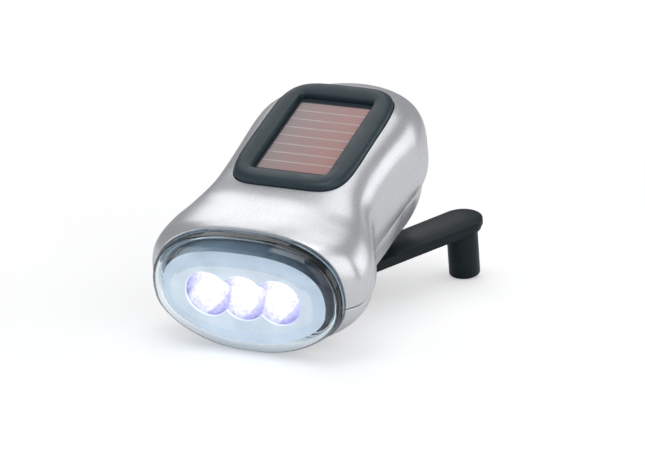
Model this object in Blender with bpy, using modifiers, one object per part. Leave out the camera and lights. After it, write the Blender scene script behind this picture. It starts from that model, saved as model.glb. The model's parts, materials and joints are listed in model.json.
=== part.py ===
"""Wind-up torch with a solar cell, a triple lamp and a folding crank.

Every sub-part is one named object. The torch is laid out on its own base plane: the crank turns
about the layout's Z axis, the lamps look along -Y and the housing's flat underside is at zero
height. A last step leans the whole layout forward until its nose and its crank knob stand on the
floor, which is how it rests when the crank is out. Lengths are in metres, angles in degrees.
"""
import math

import bmesh
import bpy
import numpy as np
from mathutils import Matrix, Vector

# Clearances
FIT_GAP = 0.0003            # between pieces that seat on or in each other
CUT_OVERRUN = 0.004         # how far a cutter runs past what it cuts

# Housing, outside
SEAM_Y = -0.050             # where the lens cap meets the housing
DOME_Y = 0.010              # where the tail starts to round off
BELLY_END_Y = 0.0425        # rearmost point, at the belly's height
PARTING_END_Y = 0.0415      # rearmost point of the parting line
FLAT_END_Y = 0.034          # rear end of the flat underside
HALF_WIDTH = 0.0324         # widest half width
BODY_HEIGHT = 0.0460        # height of the back over the underside, at DOME_Y
PARTING_HEIGHT = 0.0160     # height of the line where the two halves meet
WALL = 0.0018               # moulded wall
LENGTH_TO_DOME = DOME_Y - SEAM_Y

# Housing outline at stations along the length, as shares
STATION_SHARES = (0.0, 0.07, 0.17, 0.30, 0.43, 0.57, 0.70, 0.83, 0.92, 1.0)
BELLY_WIDTH_SHARES = (0.890, 1.000, 1.000, 0.912, 0.794, 0.758, 0.758, 0.775, 0.794, 0.807)
PARTING_WIDTH_SHARES = (0.880, 0.974, 0.962, 0.854, 0.746, 0.697, 0.675, 0.660, 0.646, 0.631)
FLAT_WIDTH_SHARES = (0.096, 0.134, 0.182, 0.230, 0.263, 0.277, 0.287, 0.277, 0.258, 0.239)
BELLY_HEIGHT_SHARES = (0.393, 0.395, 0.406, 0.446, 0.496, 0.541, 0.578, 0.600, 0.602, 0.595)
TOP_HEIGHT_SHARES = (0.778, 0.788, 0.796, 0.809, 0.862, 0.910, 0.941, 0.969, 0.987, 1.008)
CROWN_POWER_SHARES = (0.64, 0.68, 0.73, 0.80, 0.90, 0.96, 1.0, 1.0, 0.975, 0.92)
CROWN_POWER = 4.0           # squareness of the back, times its share
FLARE_POWER = 1.8           # how soon the upper half widens over the parting line
FLANK_POWER = 1.75          # squareness of the underside's flanks
TAIL_POWER = 1.85           # squareness of the tail in plan
PARTING_TAIL_POWER = 2.7    # squareness of the tail at the parting line
TAIL_PROFILE_POWER = 2.5    # squareness of the tail seen from the side
TAIL_RISE_POWER = 1.4       # how soon the back stops rising behind the dome's start

# Mesh counts of the housing
SIDE_STEPS = 12             # stations from the seam to the dome
TAIL_STEPS = 6              # stations round the tail
FLARE_RINGS = 3             # rings between the parting line and the belly
CROWN_RINGS = 6             # rings between the belly and the back
FLANK_RINGS = 5             # rings between the parting line and the underside
HOLLOW_SIDE_STEPS = 6       # the same inside
HOLLOW_TAIL_STEPS = 3
CROWN_END_DEG = 80.0        # where the crown's rings stop and the back is closed across
ROUND_STEPS = 28            # facets round a turned piece
INNER_ROUND_STEPS = 20      # on the larger turned pieces inside
SMALL_ROUND_STEPS = 12
CUP_STEPS = 4               # rings down a reflector cup
LAMP_DOME_STEPS = 4
CORNER_STEPS = 4            # facets round a corner of the yoke
TIP_STEPS = 12              # facets round the arm's tip
HULL_STEPS = 24             # points round each disc of a plate's outline
LENS_EDGE_STEPS = 4
LENS_INNER_STEPS = 2
SHARP_DEG = 35.0            # edges over this angle stay sharp

# Rest
LEAN_LIMIT_DEG = 45.0       # most that the torch is leant to stand on nose and knob
LEAN_TOLERANCE_DEG = 0.02

# Solar panel, on a plane that rises to the rear
PANEL_TILT_DEG = 10.0
PANEL_Y = -0.0044
PANEL_HEIGHT_SHARE = 0.9217 # height of the cell's face at PANEL_Y, as a share of the back's
PANEL_HEIGHT = BODY_HEIGHT * PANEL_HEIGHT_SHARE
BEZEL_MIDDLE_Y = 0.0012     # bezel's middle behind the cell's
BEZEL_WIDTH_SHARE = 0.559   # of the housing's width
BEZEL_HALF_WIDTH = HALF_WIDTH * BEZEL_WIDTH_SHARE
BEZEL_HALF_LENGTH = 0.0251
BEZEL_FRONT_POWER = 5.1     # squareness of the bezel's front corners
BEZEL_REAR_POWER = 4.5
BEZEL_RISE = 0.0019         # bezel's crest over the cell's face
BEZEL_EDGE = 0.0009         # rounding of the bezel's outer edge
BEZEL_PROUD = 0.0004        # bezel's outer edge over the housing
BEZEL_SLOPE = 0.0026        # width of the slope from the outer edge to the crest
BEZEL_STEPS = 40
WINDOW_MIDDLE_Y = 0.0006
WINDOW_SIDE = 0.0063         # bezel's width beside the window
WINDOW_HALF_WIDTH = BEZEL_HALF_WIDTH - WINDOW_SIDE
WINDOW_HALF_LENGTH = 0.0187
WINDOW_CORNER_POWER = 20.0
WINDOW_CHAMFER = 0.0004     # how far the window opens towards its top
WINDOW_CHAMFER_HEIGHT = 0.0004
WINDOW_LIP = 0.0010         # how far the bezel covers the cell's edge
CELL_THICKNESS = 0.0014
CELL_PAD_INSET = 0.0020
POCKET_DEPTH = 0.0046       # of the bezel's seat, under the cell's face
SEAT_THICKNESS = 0.0016

# Lens cap and lamp unit
LENS_DEPTH = 0.0100         # from the seam to the middle of the face
LENS_WALL = 0.0018
LENS_SIDE_SHARE = 0.30      # share of the depth before the edge starts to round
LENS_EDGE_INSET = 0.0055    # how far the edge's rounding draws the outline in
LENS_CROWN = 0.0009         # bulge of the face
LIP_LENGTH = 0.0030         # spigot inside the housing
LIP_WALL = 0.0014
OUTLINE_STEPS = 12          # points down one side of the lens outline
REFLECTOR_FACE_Y = -0.0566
REFLECTOR_INSET = 0.0055
REFLECTOR_WALL = 0.0012
CUP_PITCH = 0.0107
CUP_HEIGHT = 0.0182
CUP_RADIUS = 0.0069
CUP_FLOOR_RADIUS = 0.0029
CUP_DEPTH = 0.0062
CUP_WALL = 0.0009
CUP_POWER = 0.55            # how the cup opens, 0.5 is a parabola
LED_RADIUS = 0.0025
LED_FLANGE_RADIUS = 0.0029
LED_FLANGE = 0.0010
LED_LENGTH = 0.0084
LAMP_BOARD_THICKNESS = 0.0012
LAMP_BOARD_FRONT_Y = -0.0475

# Crank
ARM_LENGTH = 0.0479         # from the crank's axis to the knob's
ARM_AZIMUTH_DEG = 58.8      # where it points at rest, from the torch's right towards its tail
ARM_WIDTH = 0.0124
ARM_TIP_WIDTH = 0.0130
ARM_THICKNESS = 0.0036
ARM_CAP_THICKNESS = 0.0021  # wider upper layer of the arm
ARM_STEP = 0.0006           # how far the lower layer stands back
ARM_DROP = 0.0017           # arm's upper face under the housing's underside
FOLD_PIN_OFFSET = 0.0051    # fold pin from the crank's axis
FOLD_PIN_RADIUS = 0.0008
YOKE_EAR = 0.0026
YOKE_HALF_LENGTH = 0.0086
YOKE_CORNER = 0.0022
YOKE_FLOOR = 0.0009
STUB_RADIUS = 0.0040
KNOB_RADIUS = 0.00475
KNOB_LENGTH = 0.0144
KNOB_GAP = 0.0006
KNOB_EDGE = 0.0005
KNOB_PIN_RADIUS = 0.0014
KNOB_PIN_HEAD_RADIUS = 0.0027
KNOB_PIN_HEAD = 0.0011
KNOB_SEAT_DEPTH = 0.0016
SHAFT_RADIUS = 0.0020
BUSH_WALL = 0.0014
BUSH_FLANGE = 0.0024
BUSH_RISE = 0.0012
CLIP_WIDTH = 0.0013
CLIP_THICKNESS = 0.0006
KNOB_POCKET_Y = 2 * FOLD_PIN_OFFSET - ARM_LENGTH    # where the knob goes when it is put away
KNOB_POCKET_DEPTH = 0.0145
POCKET_CLEARANCE = 0.0009
POCKET_WALL = 0.0013

# Gear train
PRESSURE_DEG = 25.0
ADDENDUM_SHARE = 0.80
DEDENDUM_SHARE = 1.05
BACKLASH_SHARE = 0.17
FLANK_POINTS = 3
CRANK_MODULE = 0.00075
CRANK_TEETH = 40
IDLER_PINION_TEETH = 10
ROTOR_MODULE = 0.00060
IDLER_WHEEL_TEETH = 30
ROTOR_PINION_TEETH = 10
CRANK_GEAR_BASE = 0.0098
CRANK_GEAR_WIDTH = 0.0030
IDLER_WHEEL_BASE = 0.0139
IDLER_WHEEL_WIDTH = 0.0018
AXLE_RADIUS = 0.0010
ROTOR_SHAFT_RADIUS = 0.00075
GEAR_PLATE_BASE = 0.0166
GEAR_PLATE_THICKNESS = 0.0012
POST_RADIUS = 0.0018
POST_PIN_RADIUS = 0.0010
FRONT_POST_Y = -0.0186
REAR_POST_X = 0.0088
REAR_POST_Y = 0.0268
PLATE_MARGIN = 0.0032
IDLER_BOSS_RADIUS = 0.0026

# Generator
CAN_RADIUS = 0.0116
CAN_WALL = 0.0008
CAN_HEIGHT = 0.0090
MAGNET_RADIUS = 0.0048
AIR_GAP = 0.0006
BOBBIN_WALL = 0.0008
WINDING_RADIUS = 0.0100

# Board, battery and switch
BOARD_BASE = 0.0296
BOARD_THICKNESS = 0.0014
BOARD_WIDTH_SHARE = 0.290   # of the housing's width
BOARD_HALF_WIDTH = HALF_WIDTH * BOARD_WIDTH_SHARE
BOARD_FRONT_Y = -0.0180
BOARD_REAR_Y = 0.0225
BOARD_POST_RADIUS = 0.0020
CAPACITOR_RADIUS = 0.0025
CAPACITOR_LENGTH = 0.0090
CAPACITOR_Y = 0.0110
CELL_RADIUS = 0.0058
CELL_LENGTH = 0.0054
CELL_COUNT = 3
BATTERY_Y = -0.0335
CRADLE_WALL = 0.0013
CONTACT_THICKNESS = 0.0005
CONTACT_HALF = 0.0030
SWITCH_Y = 0.0250
SWITCH_TRAVEL = 0.0025
SLIDER_LENGTH = 0.0044
SLIDER_WIDTH = 0.0044
SLIDER_PROUD = 0.0007
SWITCH_BODY_HEIGHT = 0.0042
SWITCH_BODY_MARGIN = 0.0008
RIDGE_WIDTH = 0.0006
RIDGE_PITCH = 0.0013
RIDGE_COUNT = 3

# Screws
SCREW_RADIUS = 0.0012
SCREW_HEAD_RADIUS = 0.0023
SCREW_HEAD = 0.0015
SCREW_SEAT = 0.0080         # height of the head's seat over the underside
SCREW_TIP = 0.0240          # height of the screw's tip
SCREW_BOSS_RADIUS = 0.0030
SCREW_SLOT_WIDTH = 0.0007
FRONT_SCREW_SHARE = 0.531   # place across, as a share of the half width
REAR_SCREW_SHARE = 0.398
FRONT_SCREW_X = HALF_WIDTH * FRONT_SCREW_SHARE
FRONT_SCREW_Y = -0.0405
REAR_SCREW_X = HALF_WIDTH * REAR_SCREW_SHARE
REAR_SCREW_Y = 0.0149

# Colours, as red, green, blue, and the finish of each
SILVER = ((0.70, 0.71, 0.74), 0.32, 0.85)
BLACK_PLASTIC = ((0.045, 0.060, 0.066), 0.42, 0.0)
CLEAR = ((0.80, 0.87, 0.92), 0.05, 0.0)
MIRROR = ((0.90, 0.92, 0.95), 0.12, 1.0)
STEEL = ((0.62, 0.62, 0.63), 0.30, 1.0)
BRASS = ((0.78, 0.60, 0.30), 0.35, 1.0)
COPPER = ((0.72, 0.38, 0.20), 0.40, 1.0)
GREEN_BOARD = ((0.06, 0.28, 0.12), 0.50, 0.0)
WHITE_PLASTIC = ((0.82, 0.82, 0.80), 0.45, 0.0)
SOLAR_BROWN = ((0.42, 0.22, 0.20), 0.25, 0.0)
LED_WHITE = ((0.92, 0.94, 1.0), 0.08, 0.0)
MAGNET_GREY = ((0.20, 0.20, 0.22), 0.50, 0.4)

PARTS = "wind_up_torch"
CUTTERS = "cutters"


def clear_scene():
    """Remove what the file holds, so that the model starts alone."""
    for old in list(bpy.data.objects):
        bpy.data.objects.remove(old, do_unlink=True)


def collection(name):
    """The collection of that name, made on first use."""
    found = bpy.data.collections.get(name)
    if found is None:
        found = bpy.data.collections.new(name)
        bpy.context.scene.collection.children.link(found)
    return found


def finish_of(name, look):
    """A Principled material from a colour, a roughness and a metallic value."""
    colour, roughness, metallic = look
    material = bpy.data.materials.new(name + "_finish")
    material.use_nodes = True
    shader = material.node_tree.nodes["Principled BSDF"]
    shader.inputs["Base Color"].default_value = (*colour, 1.0)
    shader.inputs["Roughness"].default_value = roughness
    shader.inputs["Metallic"].default_value = metallic
    return material


def add_part(name, mesh, look, parent, location=(0, 0, 0)):
    """Link a mesh as a visible sub-part with its own finish."""
    obj = bpy.data.objects.new(name, mesh)
    collection(PARTS).objects.link(obj)
    obj.parent = parent
    obj.location = location
    if look is not None:
        obj.data.materials.append(finish_of(name, look))
    return obj


def add_cutter(name, mesh, parent, location=(0, 0, 0), rotation=(0, 0, 0)):
    """Link a mesh as a hidden shape that only cuts or joins."""
    obj = bpy.data.objects.new(name, mesh)
    collection(CUTTERS).objects.link(obj)
    obj.parent = parent
    obj.location = location
    obj.rotation_euler = rotation
    obj.hide_render = True
    obj.display_type = "WIRE"
    return obj


def add_empty(name, parent, location=(0, 0, 0), rotation=(0, 0, 0)):
    """A joint's or an assembly's own frame."""
    empty = bpy.data.objects.new(name, None)
    collection(PARTS).objects.link(empty)
    empty.parent = parent
    empty.location = location
    empty.rotation_euler = rotation
    return empty


def boolean(obj, other, operation="DIFFERENCE"):
    """Cut a shape from, or join it to, an object."""
    modifier = obj.modifiers.new(operation.lower() + "_" + other.name, "BOOLEAN")
    modifier.operation = operation
    modifier.solver = "EXACT"
    modifier.object = other


def mesh_from(name, vertices, faces):
    """A mesh from points and faces, with its faces turned outwards."""
    mesh = bpy.data.meshes.new(name)
    mesh.from_pydata([tuple(v) for v in vertices], [], faces)
    work = bmesh.new()
    work.from_mesh(mesh)
    bmesh.ops.recalc_face_normals(work, faces=work.faces)
    work.to_mesh(mesh)
    work.free()
    return mesh


def lofted(name, rings, closed=False):
    """Skin over rings of equal counts; the end rings are capped, or joined when closed."""
    count = len(rings[0])
    vertices = [point for ring in rings for point in ring]
    faces = []
    pairs = list(zip(range(len(rings) - 1), range(1, len(rings))))
    if closed:
        pairs.append((len(rings) - 1, 0))
    for low, high in pairs:
        for i in range(count):
            j = (i + 1) % count
            faces.append((low * count + i, low * count + j, high * count + j, high * count + i))
    if not closed:
        faces.append(tuple(range(count)))
        faces.append(tuple(range((len(rings) - 1) * count, len(rings) * count)))
    return mesh_from(name, vertices, faces)


def turned(name, profile, steps=ROUND_STEPS, ring=False):
    """A turned solid about Z from its outline of radius and height, listed top to bottom."""
    vertices = [(radius, 0, height) for radius, height in profile]
    edges = [(i, i + 1) for i in range(len(vertices) - 1)]
    if ring:
        edges.append((len(vertices) - 1, 0))
    mesh = bpy.data.meshes.new(name)
    mesh.from_pydata(vertices, edges, [])
    source = bpy.data.objects.new(name + "_profile", mesh)
    bpy.context.scene.collection.objects.link(source)
    screw = source.modifiers.new("turn", "SCREW")
    screw.axis = "Z"
    screw.steps = steps
    screw.render_steps = steps
    screw.use_merge_vertices = True
    screw.merge_threshold = FIT_GAP / 10
    graph = bpy.context.evaluated_depsgraph_get()
    solid = bpy.data.meshes.new_from_object(source.evaluated_get(graph))
    bpy.data.objects.remove(source, do_unlink=True)
    bpy.data.meshes.remove(mesh)
    solid.name = name
    work = bmesh.new()
    work.from_mesh(solid)
    bmesh.ops.remove_doubles(work, verts=work.verts, dist=FIT_GAP / 100)
    bmesh.ops.recalc_face_normals(work, faces=work.faces)
    work.to_mesh(solid)
    work.free()
    return solid


def drum(name, radius, low, high, steps=ROUND_STEPS):
    """A plain cylinder about Z between two heights."""
    work = bmesh.new()
    bmesh.ops.create_cone(work, cap_ends=True, segments=steps, radius1=radius, radius2=radius,
                          depth=high - low, matrix=Matrix.Translation((0, 0, (low + high) / 2)))
    mesh = bpy.data.meshes.new(name)
    work.to_mesh(mesh)
    work.free()
    return mesh


def tube(name, outer, inner, low, high, steps=ROUND_STEPS):
    """A ring or sleeve about Z between two heights."""
    return turned(name, [(outer, high), (outer, low), (inner, low), (inner, high)], steps, ring=True)


def block(name, low, high):
    """A box between its lowest and highest corners."""
    size = Vector(high) - Vector(low)
    middle = (Vector(high) + Vector(low)) / 2
    work = bmesh.new()
    bmesh.ops.create_cube(work, size=1.0, matrix=Matrix.LocRotScale(middle, None, size))
    mesh = bpy.data.meshes.new(name)
    work.to_mesh(mesh)
    work.free()
    return mesh


def prism(name, outline, low, high):
    """A flat outline of X and Y, thick between two heights."""
    return lofted(name, [[(x, y, z) for x, y in outline] for z in (low, high)])


def power_cos(angle, power):
    """The cosine side of a superellipse of that power."""
    return max(math.cos(angle), 0) ** (2 / power)


def power_sin(angle, power):
    """The sine side of a superellipse of that power."""
    return max(math.sin(angle), 0) ** (2 / power)


def share_at(shares, position):
    """A smooth value between the shares of the stations."""
    last = len(STATION_SHARES) - 1
    place = min(max(position, 0), 1)
    k = min(max(int(np.searchsorted(STATION_SHARES, place, side="right")) - 1, 0), last - 1)

    def slope(i):
        before, after = max(i - 1, 0), min(i + 1, last)
        return (shares[after] - shares[before]) / (STATION_SHARES[after] - STATION_SHARES[before])

    span = STATION_SHARES[k + 1] - STATION_SHARES[k]
    t = (place - STATION_SHARES[k]) / span
    rise = shares[k + 1] - shares[k]
    start, end = slope(k) * span, slope(k + 1) * span
    return shares[k] + t * (start + t * (3 * rise - 2 * start - end + t * (start + end - 2 * rise)))


def section_at(y, inset):
    """The housing's half section at a place along its length, drawn in by an inset."""
    position = (y - SEAM_Y) / LENGTH_TO_DOME
    return {
        "belly": HALF_WIDTH * share_at(BELLY_WIDTH_SHARES, position) - inset,
        "parting": HALF_WIDTH * share_at(PARTING_WIDTH_SHARES, position) - inset,
        "flat": HALF_WIDTH * share_at(FLAT_WIDTH_SHARES, position) - inset / 2,
        "belly_z": BODY_HEIGHT * share_at(BELLY_HEIGHT_SHARES, position),
        "top_z": BODY_HEIGHT * share_at(TOP_HEIGHT_SHARES, position) - inset,
        "power": CROWN_POWER * share_at(CROWN_POWER_SHARES, position),
        "base_z": inset,
    }


def crown_height(x, y, inset):
    """Height of the back at a point, drawn in by an inset."""
    section = section_at(min(y, DOME_Y), inset)
    reach = min(abs(x) / section["belly"], 1)
    rise = (1 - reach ** section["power"]) ** (1 / section["power"])
    if y > DOME_Y:
        way = (y - DOME_Y) / (BELLY_END_Y - DOME_Y)
        rise *= (1 - way ** TAIL_PROFILE_POWER) ** (1 / TAIL_PROFILE_POWER)
        section["top_z"] += tail_rise(y, section["top_z"])
    return section["belly_z"] + (section["top_z"] - section["belly_z"]) * rise


def upper_points(section):
    """Half width and height up the section, with the share that the tail's reach follows."""
    points = []
    for i in range(FLARE_RINGS):
        t = i / FLARE_RINGS
        ease = 1 - (1 - t) ** FLARE_POWER
        width = section["parting"] + (section["belly"] - section["parting"]) * ease
        height = PARTING_HEIGHT + (section["belly_z"] - PARTING_HEIGHT) * t
        points.append((width, height, ("flare", ease)))
    for i in range(CROWN_RINGS + 1):
        angle = math.radians(CROWN_END_DEG * i / CROWN_RINGS)
        reach = power_cos(angle, section["power"])
        rise = power_sin(angle, section["power"])
        height = section["belly_z"] + (section["top_z"] - section["belly_z"]) * rise
        profile = (1 - rise ** TAIL_PROFILE_POWER) ** (1 / TAIL_PROFILE_POWER)
        points.append((section["belly"] * reach, height, ("crown", profile)))
    return points


def lower_points(section):
    """Half width and height down the section, with the share that the tail's reach follows."""
    points = []
    for i in range(FLANK_RINGS + 1):
        angle = math.radians(90 * i / FLANK_RINGS)
        reach = power_cos(angle, FLANK_POWER)
        drop = power_sin(angle, FLANK_POWER)
        width = section["flat"] + (section["parting"] - section["flat"]) * reach
        height = PARTING_HEIGHT + (section["base_z"] - PARTING_HEIGHT) * drop
        points.append((width, height, ("flank", reach)))
    return points


def tail_end(kind, share, inset):
    """How far back the tail reaches at a ring."""
    if kind == "flare":
        end = PARTING_END_Y + (BELLY_END_Y - PARTING_END_Y) * share
    elif kind == "crown":
        end = DOME_Y + (BELLY_END_Y - DOME_Y) * share
    else:
        end = FLAT_END_Y + (PARTING_END_Y - FLAT_END_Y) * share
    return end - inset


def tail_power(kind, share):
    """How square the tail is in plan at a ring."""
    if kind == "flare":
        return PARTING_TAIL_POWER + (TAIL_POWER - PARTING_TAIL_POWER) * share
    return TAIL_POWER if kind == "crown" else PARTING_TAIL_POWER


def tail_rise(y, height):
    """How much the back still rises behind the dome's start, at a level."""
    way = (y - DOME_Y) / (BELLY_END_Y - DOME_Y)
    level = max(height - PARTING_HEIGHT, 0) / (BODY_HEIGHT - PARTING_HEIGHT)
    return math.tan(math.radians(PANEL_TILT_DEG)) * (y - DOME_Y) * level * (1 - way) ** TAIL_RISE_POWER


def half_form(name, rings_of, inset, front_y, edge_shift, inner=False, ceiling=None):
    """One closed half of the housing's form, from the seam to the tail, drawn in by an inset."""
    side_steps = HOLLOW_SIDE_STEPS if inner else SIDE_STEPS
    tail_steps = HOLLOW_TAIL_STEPS if inner else TAIL_STEPS
    stations = [front_y + (DOME_Y - front_y) * i / side_steps for i in range(side_steps + 1)]
    dome = rings_of(section_at(DOME_Y, inset))
    rings = []
    for level in range(len(dome)):
        side = []
        for y in stations:
            width, height, _ = rings_of(section_at(y, inset))[level]
            side.append((width, y, height))
        width, height, (kind, share) = dome[level]
        end = tail_end(kind, share, inset)
        power = tail_power(kind, share)
        for i in range(1, tail_steps + 1):
            angle = math.radians(90 * i / tail_steps)
            y = DOME_Y + (end - DOME_Y) * power_sin(angle, power)
            side.append((width * power_cos(angle, power), y, height + tail_rise(y, height)))
        if level == 0:
            side = [(x, y, z + edge_shift) for x, y, z in side]
        if ceiling is not None:
            side = [(x, y, min(z, ceiling(y))) for x, y, z in side]
        rings.append(side + [(-x, y, z) for x, y, z in reversed(side[:-1])])
    count = len(rings[0])
    pole = count // 2
    vertices = [point for ring in rings for point in ring]
    faces = []
    for low in range(len(rings) - 1):
        for i in range(count):
            j = (i + 1) % count
            a, b = low * count + i, low * count + j
            faces.append((a, b, b + count, a + count))
    for base in (0, (len(rings) - 1) * count):
        for i in range(pole):
            j = count - 1 - i
            if i + 1 == j - 1:
                faces.append((base + i, base + i + 1, base + j))
            else:
                faces.append((base + i, base + i + 1, base + j - 1, base + j))
    return mesh_from(name, vertices, faces)


def panel_height(y, lift):
    """Height of a plane parallel to the solar cell's face, at a place along the length."""
    tilt = math.radians(PANEL_TILT_DEG)
    return PANEL_HEIGHT + (y - PANEL_Y) * math.tan(tilt) + lift / math.cos(tilt)


def lens_loop(y, inset):
    """The nose's outline at the seam, drawn in by an inset and set at a place along the length."""
    section = section_at(SEAM_Y, 0)
    flat = section["flat"] * (1 - inset / section["parting"])
    side = []
    for i in range(OUTLINE_STEPS + 1):
        angle = math.radians(90 - 90 * i / OUTLINE_STEPS)
        width = (section["belly"] - inset) * power_cos(angle, section["power"])
        rise = (section["top_z"] - inset - section["belly_z"]) * power_sin(angle, section["power"])
        side.append((width, section["belly_z"] + rise))
    for i in range(1, OUTLINE_STEPS + 1):
        angle = math.radians(90 * i / OUTLINE_STEPS)
        width = flat + (section["parting"] - inset - flat) * power_cos(angle, FLANK_POWER)
        drop = (PARTING_HEIGHT - inset) * power_sin(angle, FLANK_POWER)
        side.append((width, PARTING_HEIGHT - drop))
    right = [(x, y, z) for x, z in side]
    return right + [(-x, y, z) for x, z in reversed(side) if x > FIT_GAP]


def rounded_loop(half_width, half_length, powers, middle_y, height):
    """A rounded rectangle at a height, from superellipses of a front and a rear power."""
    loop = []
    for i in range(BEZEL_STEPS):
        angle = 2 * math.pi * (i + 0.5) / BEZEL_STEPS
        c, s = math.cos(angle), math.sin(angle)
        power = powers[0] if s < 0 else powers[1]
        x = math.copysign(abs(c) ** (2 / power), c) * half_width
        y = math.copysign(abs(s) ** (2 / power), s) * half_length
        loop.append((x, middle_y + y, height))
    return loop


def build_housing(frame):
    """The upper and lower moulded halves, before anything is cut from them."""
    seat_front = PANEL_Y - BEZEL_HALF_LENGTH - SEAT_THICKNESS

    def seat_ceiling(y):
        under_seat = panel_height(max(y, seat_front), -POCKET_DEPTH - SEAT_THICKNESS)
        return under_seat if y > seat_front else BODY_HEIGHT

    half_gap = FIT_GAP / 2
    front = SEAM_Y + half_gap
    for name, points, shift in (("upper_housing_core", upper_points, -CUT_OVERRUN),
                                ("lower_housing_core", lower_points, CUT_OVERRUN)):
        add_cutter(name, half_form(name, points, WALL / 2, front + FIT_GAP, shift, True), frame)
    upper = add_part("upper_housing", half_form("upper_housing", upper_points, 0, front, half_gap),
                     SILVER, frame)
    hollow = half_form("upper_hollow", upper_points, WALL, SEAM_Y - CUT_OVERRUN, -CUT_OVERRUN,
                       True, seat_ceiling)
    boolean(upper, add_cutter("upper_hollow", hollow, frame))
    lower = add_part("lower_housing", half_form("lower_housing", lower_points, 0, front, -half_gap),
                     SILVER, frame)
    hollow = half_form("lower_hollow", lower_points, WALL, SEAM_Y - CUT_OVERRUN, CUT_OVERRUN,
                       True)
    boolean(lower, add_cutter("lower_hollow", hollow, frame))
    return upper, lower


def add_column(obj, frame, name, x, y, radius, low, high, steps=SMALL_ROUND_STEPS):
    """A moulded post joined to a housing half, trimmed where it would leave the half's wall."""
    column = add_cutter(name, drum(name, radius, low, high, steps), frame, (x, y, 0))
    boolean(column, bpy.data.objects[obj.name + "_core"], "INTERSECT")
    boolean(obj, column, "UNION")


def bore(obj, frame, name, x, y, radius, low, high, steps=SMALL_ROUND_STEPS):
    """A round hole along Z through a piece."""
    boolean(obj, add_cutter(name, drum(name, radius, low, high, steps), frame, (x, y, 0)))


def screw_places():
    """Name and place of each housing screw."""
    return (
        ("screw_front_left", -FRONT_SCREW_X, FRONT_SCREW_Y),
        ("screw_front_right", FRONT_SCREW_X, FRONT_SCREW_Y),
        ("screw_rear_left", -REAR_SCREW_X, REAR_SCREW_Y),
        ("screw_rear_right", REAR_SCREW_X, REAR_SCREW_Y),
    )


def post_places():
    """Where the posts of the gear plate stand."""
    return ((0, FRONT_POST_Y), (-REAR_POST_X, REAR_POST_Y), (REAR_POST_X, REAR_POST_Y))


def fit_screws(frame, upper, lower):
    """Bosses in both halves and the screws in them."""
    shaft_hole = SCREW_RADIUS + FIT_GAP
    for name, x, y in screw_places():
        top = PARTING_HEIGHT - FIT_GAP
        add_column(lower, frame, name + "_boss", x, y, SCREW_BOSS_RADIUS, -CUT_OVERRUN, top)
        bore(lower, frame, name + "_hole", x, y, shaft_hole, -CUT_OVERRUN, top + CUT_OVERRUN)
        bore(lower, frame, name + "_seat", x, y, SCREW_HEAD_RADIUS + FIT_GAP, -CUT_OVERRUN, SCREW_SEAT)
        add_column(upper, frame, name + "_post", x, y, SCREW_BOSS_RADIUS, PARTING_HEIGHT + FIT_GAP,
                   2 * BODY_HEIGHT)
        bore(upper, frame, name + "_pilot", x, y, shaft_hole, PARTING_HEIGHT - CUT_OVERRUN,
             SCREW_TIP + FIT_GAP)
        seat = SCREW_SEAT - FIT_GAP
        profile = [(0, SCREW_TIP), (SCREW_RADIUS, SCREW_TIP - SCREW_RADIUS),
                   (SCREW_RADIUS, seat), (SCREW_HEAD_RADIUS, seat),
                   (SCREW_HEAD_RADIUS, seat - SCREW_HEAD / 2),
                   (SCREW_HEAD_RADIUS / 2, seat - SCREW_HEAD), (0, seat - SCREW_HEAD)]
        screw = add_part(name, turned(name, profile, SMALL_ROUND_STEPS), STEEL, frame, (x, y, 0))
        arm = SCREW_HEAD_RADIUS / 2
        half = SCREW_SLOT_WIDTH / 2
        low, high = seat - SCREW_HEAD - FIT_GAP, seat - SCREW_HEAD / 2
        for turn, reach in (("x", (arm, half)), ("y", (half, arm))):
            slot = block(name + "_slot_" + turn, (-reach[0], -reach[1], low), (reach[0], reach[1], high))
            boolean(screw, add_cutter(name + "_slot_" + turn, slot, frame, (x, y, 0)))


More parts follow.
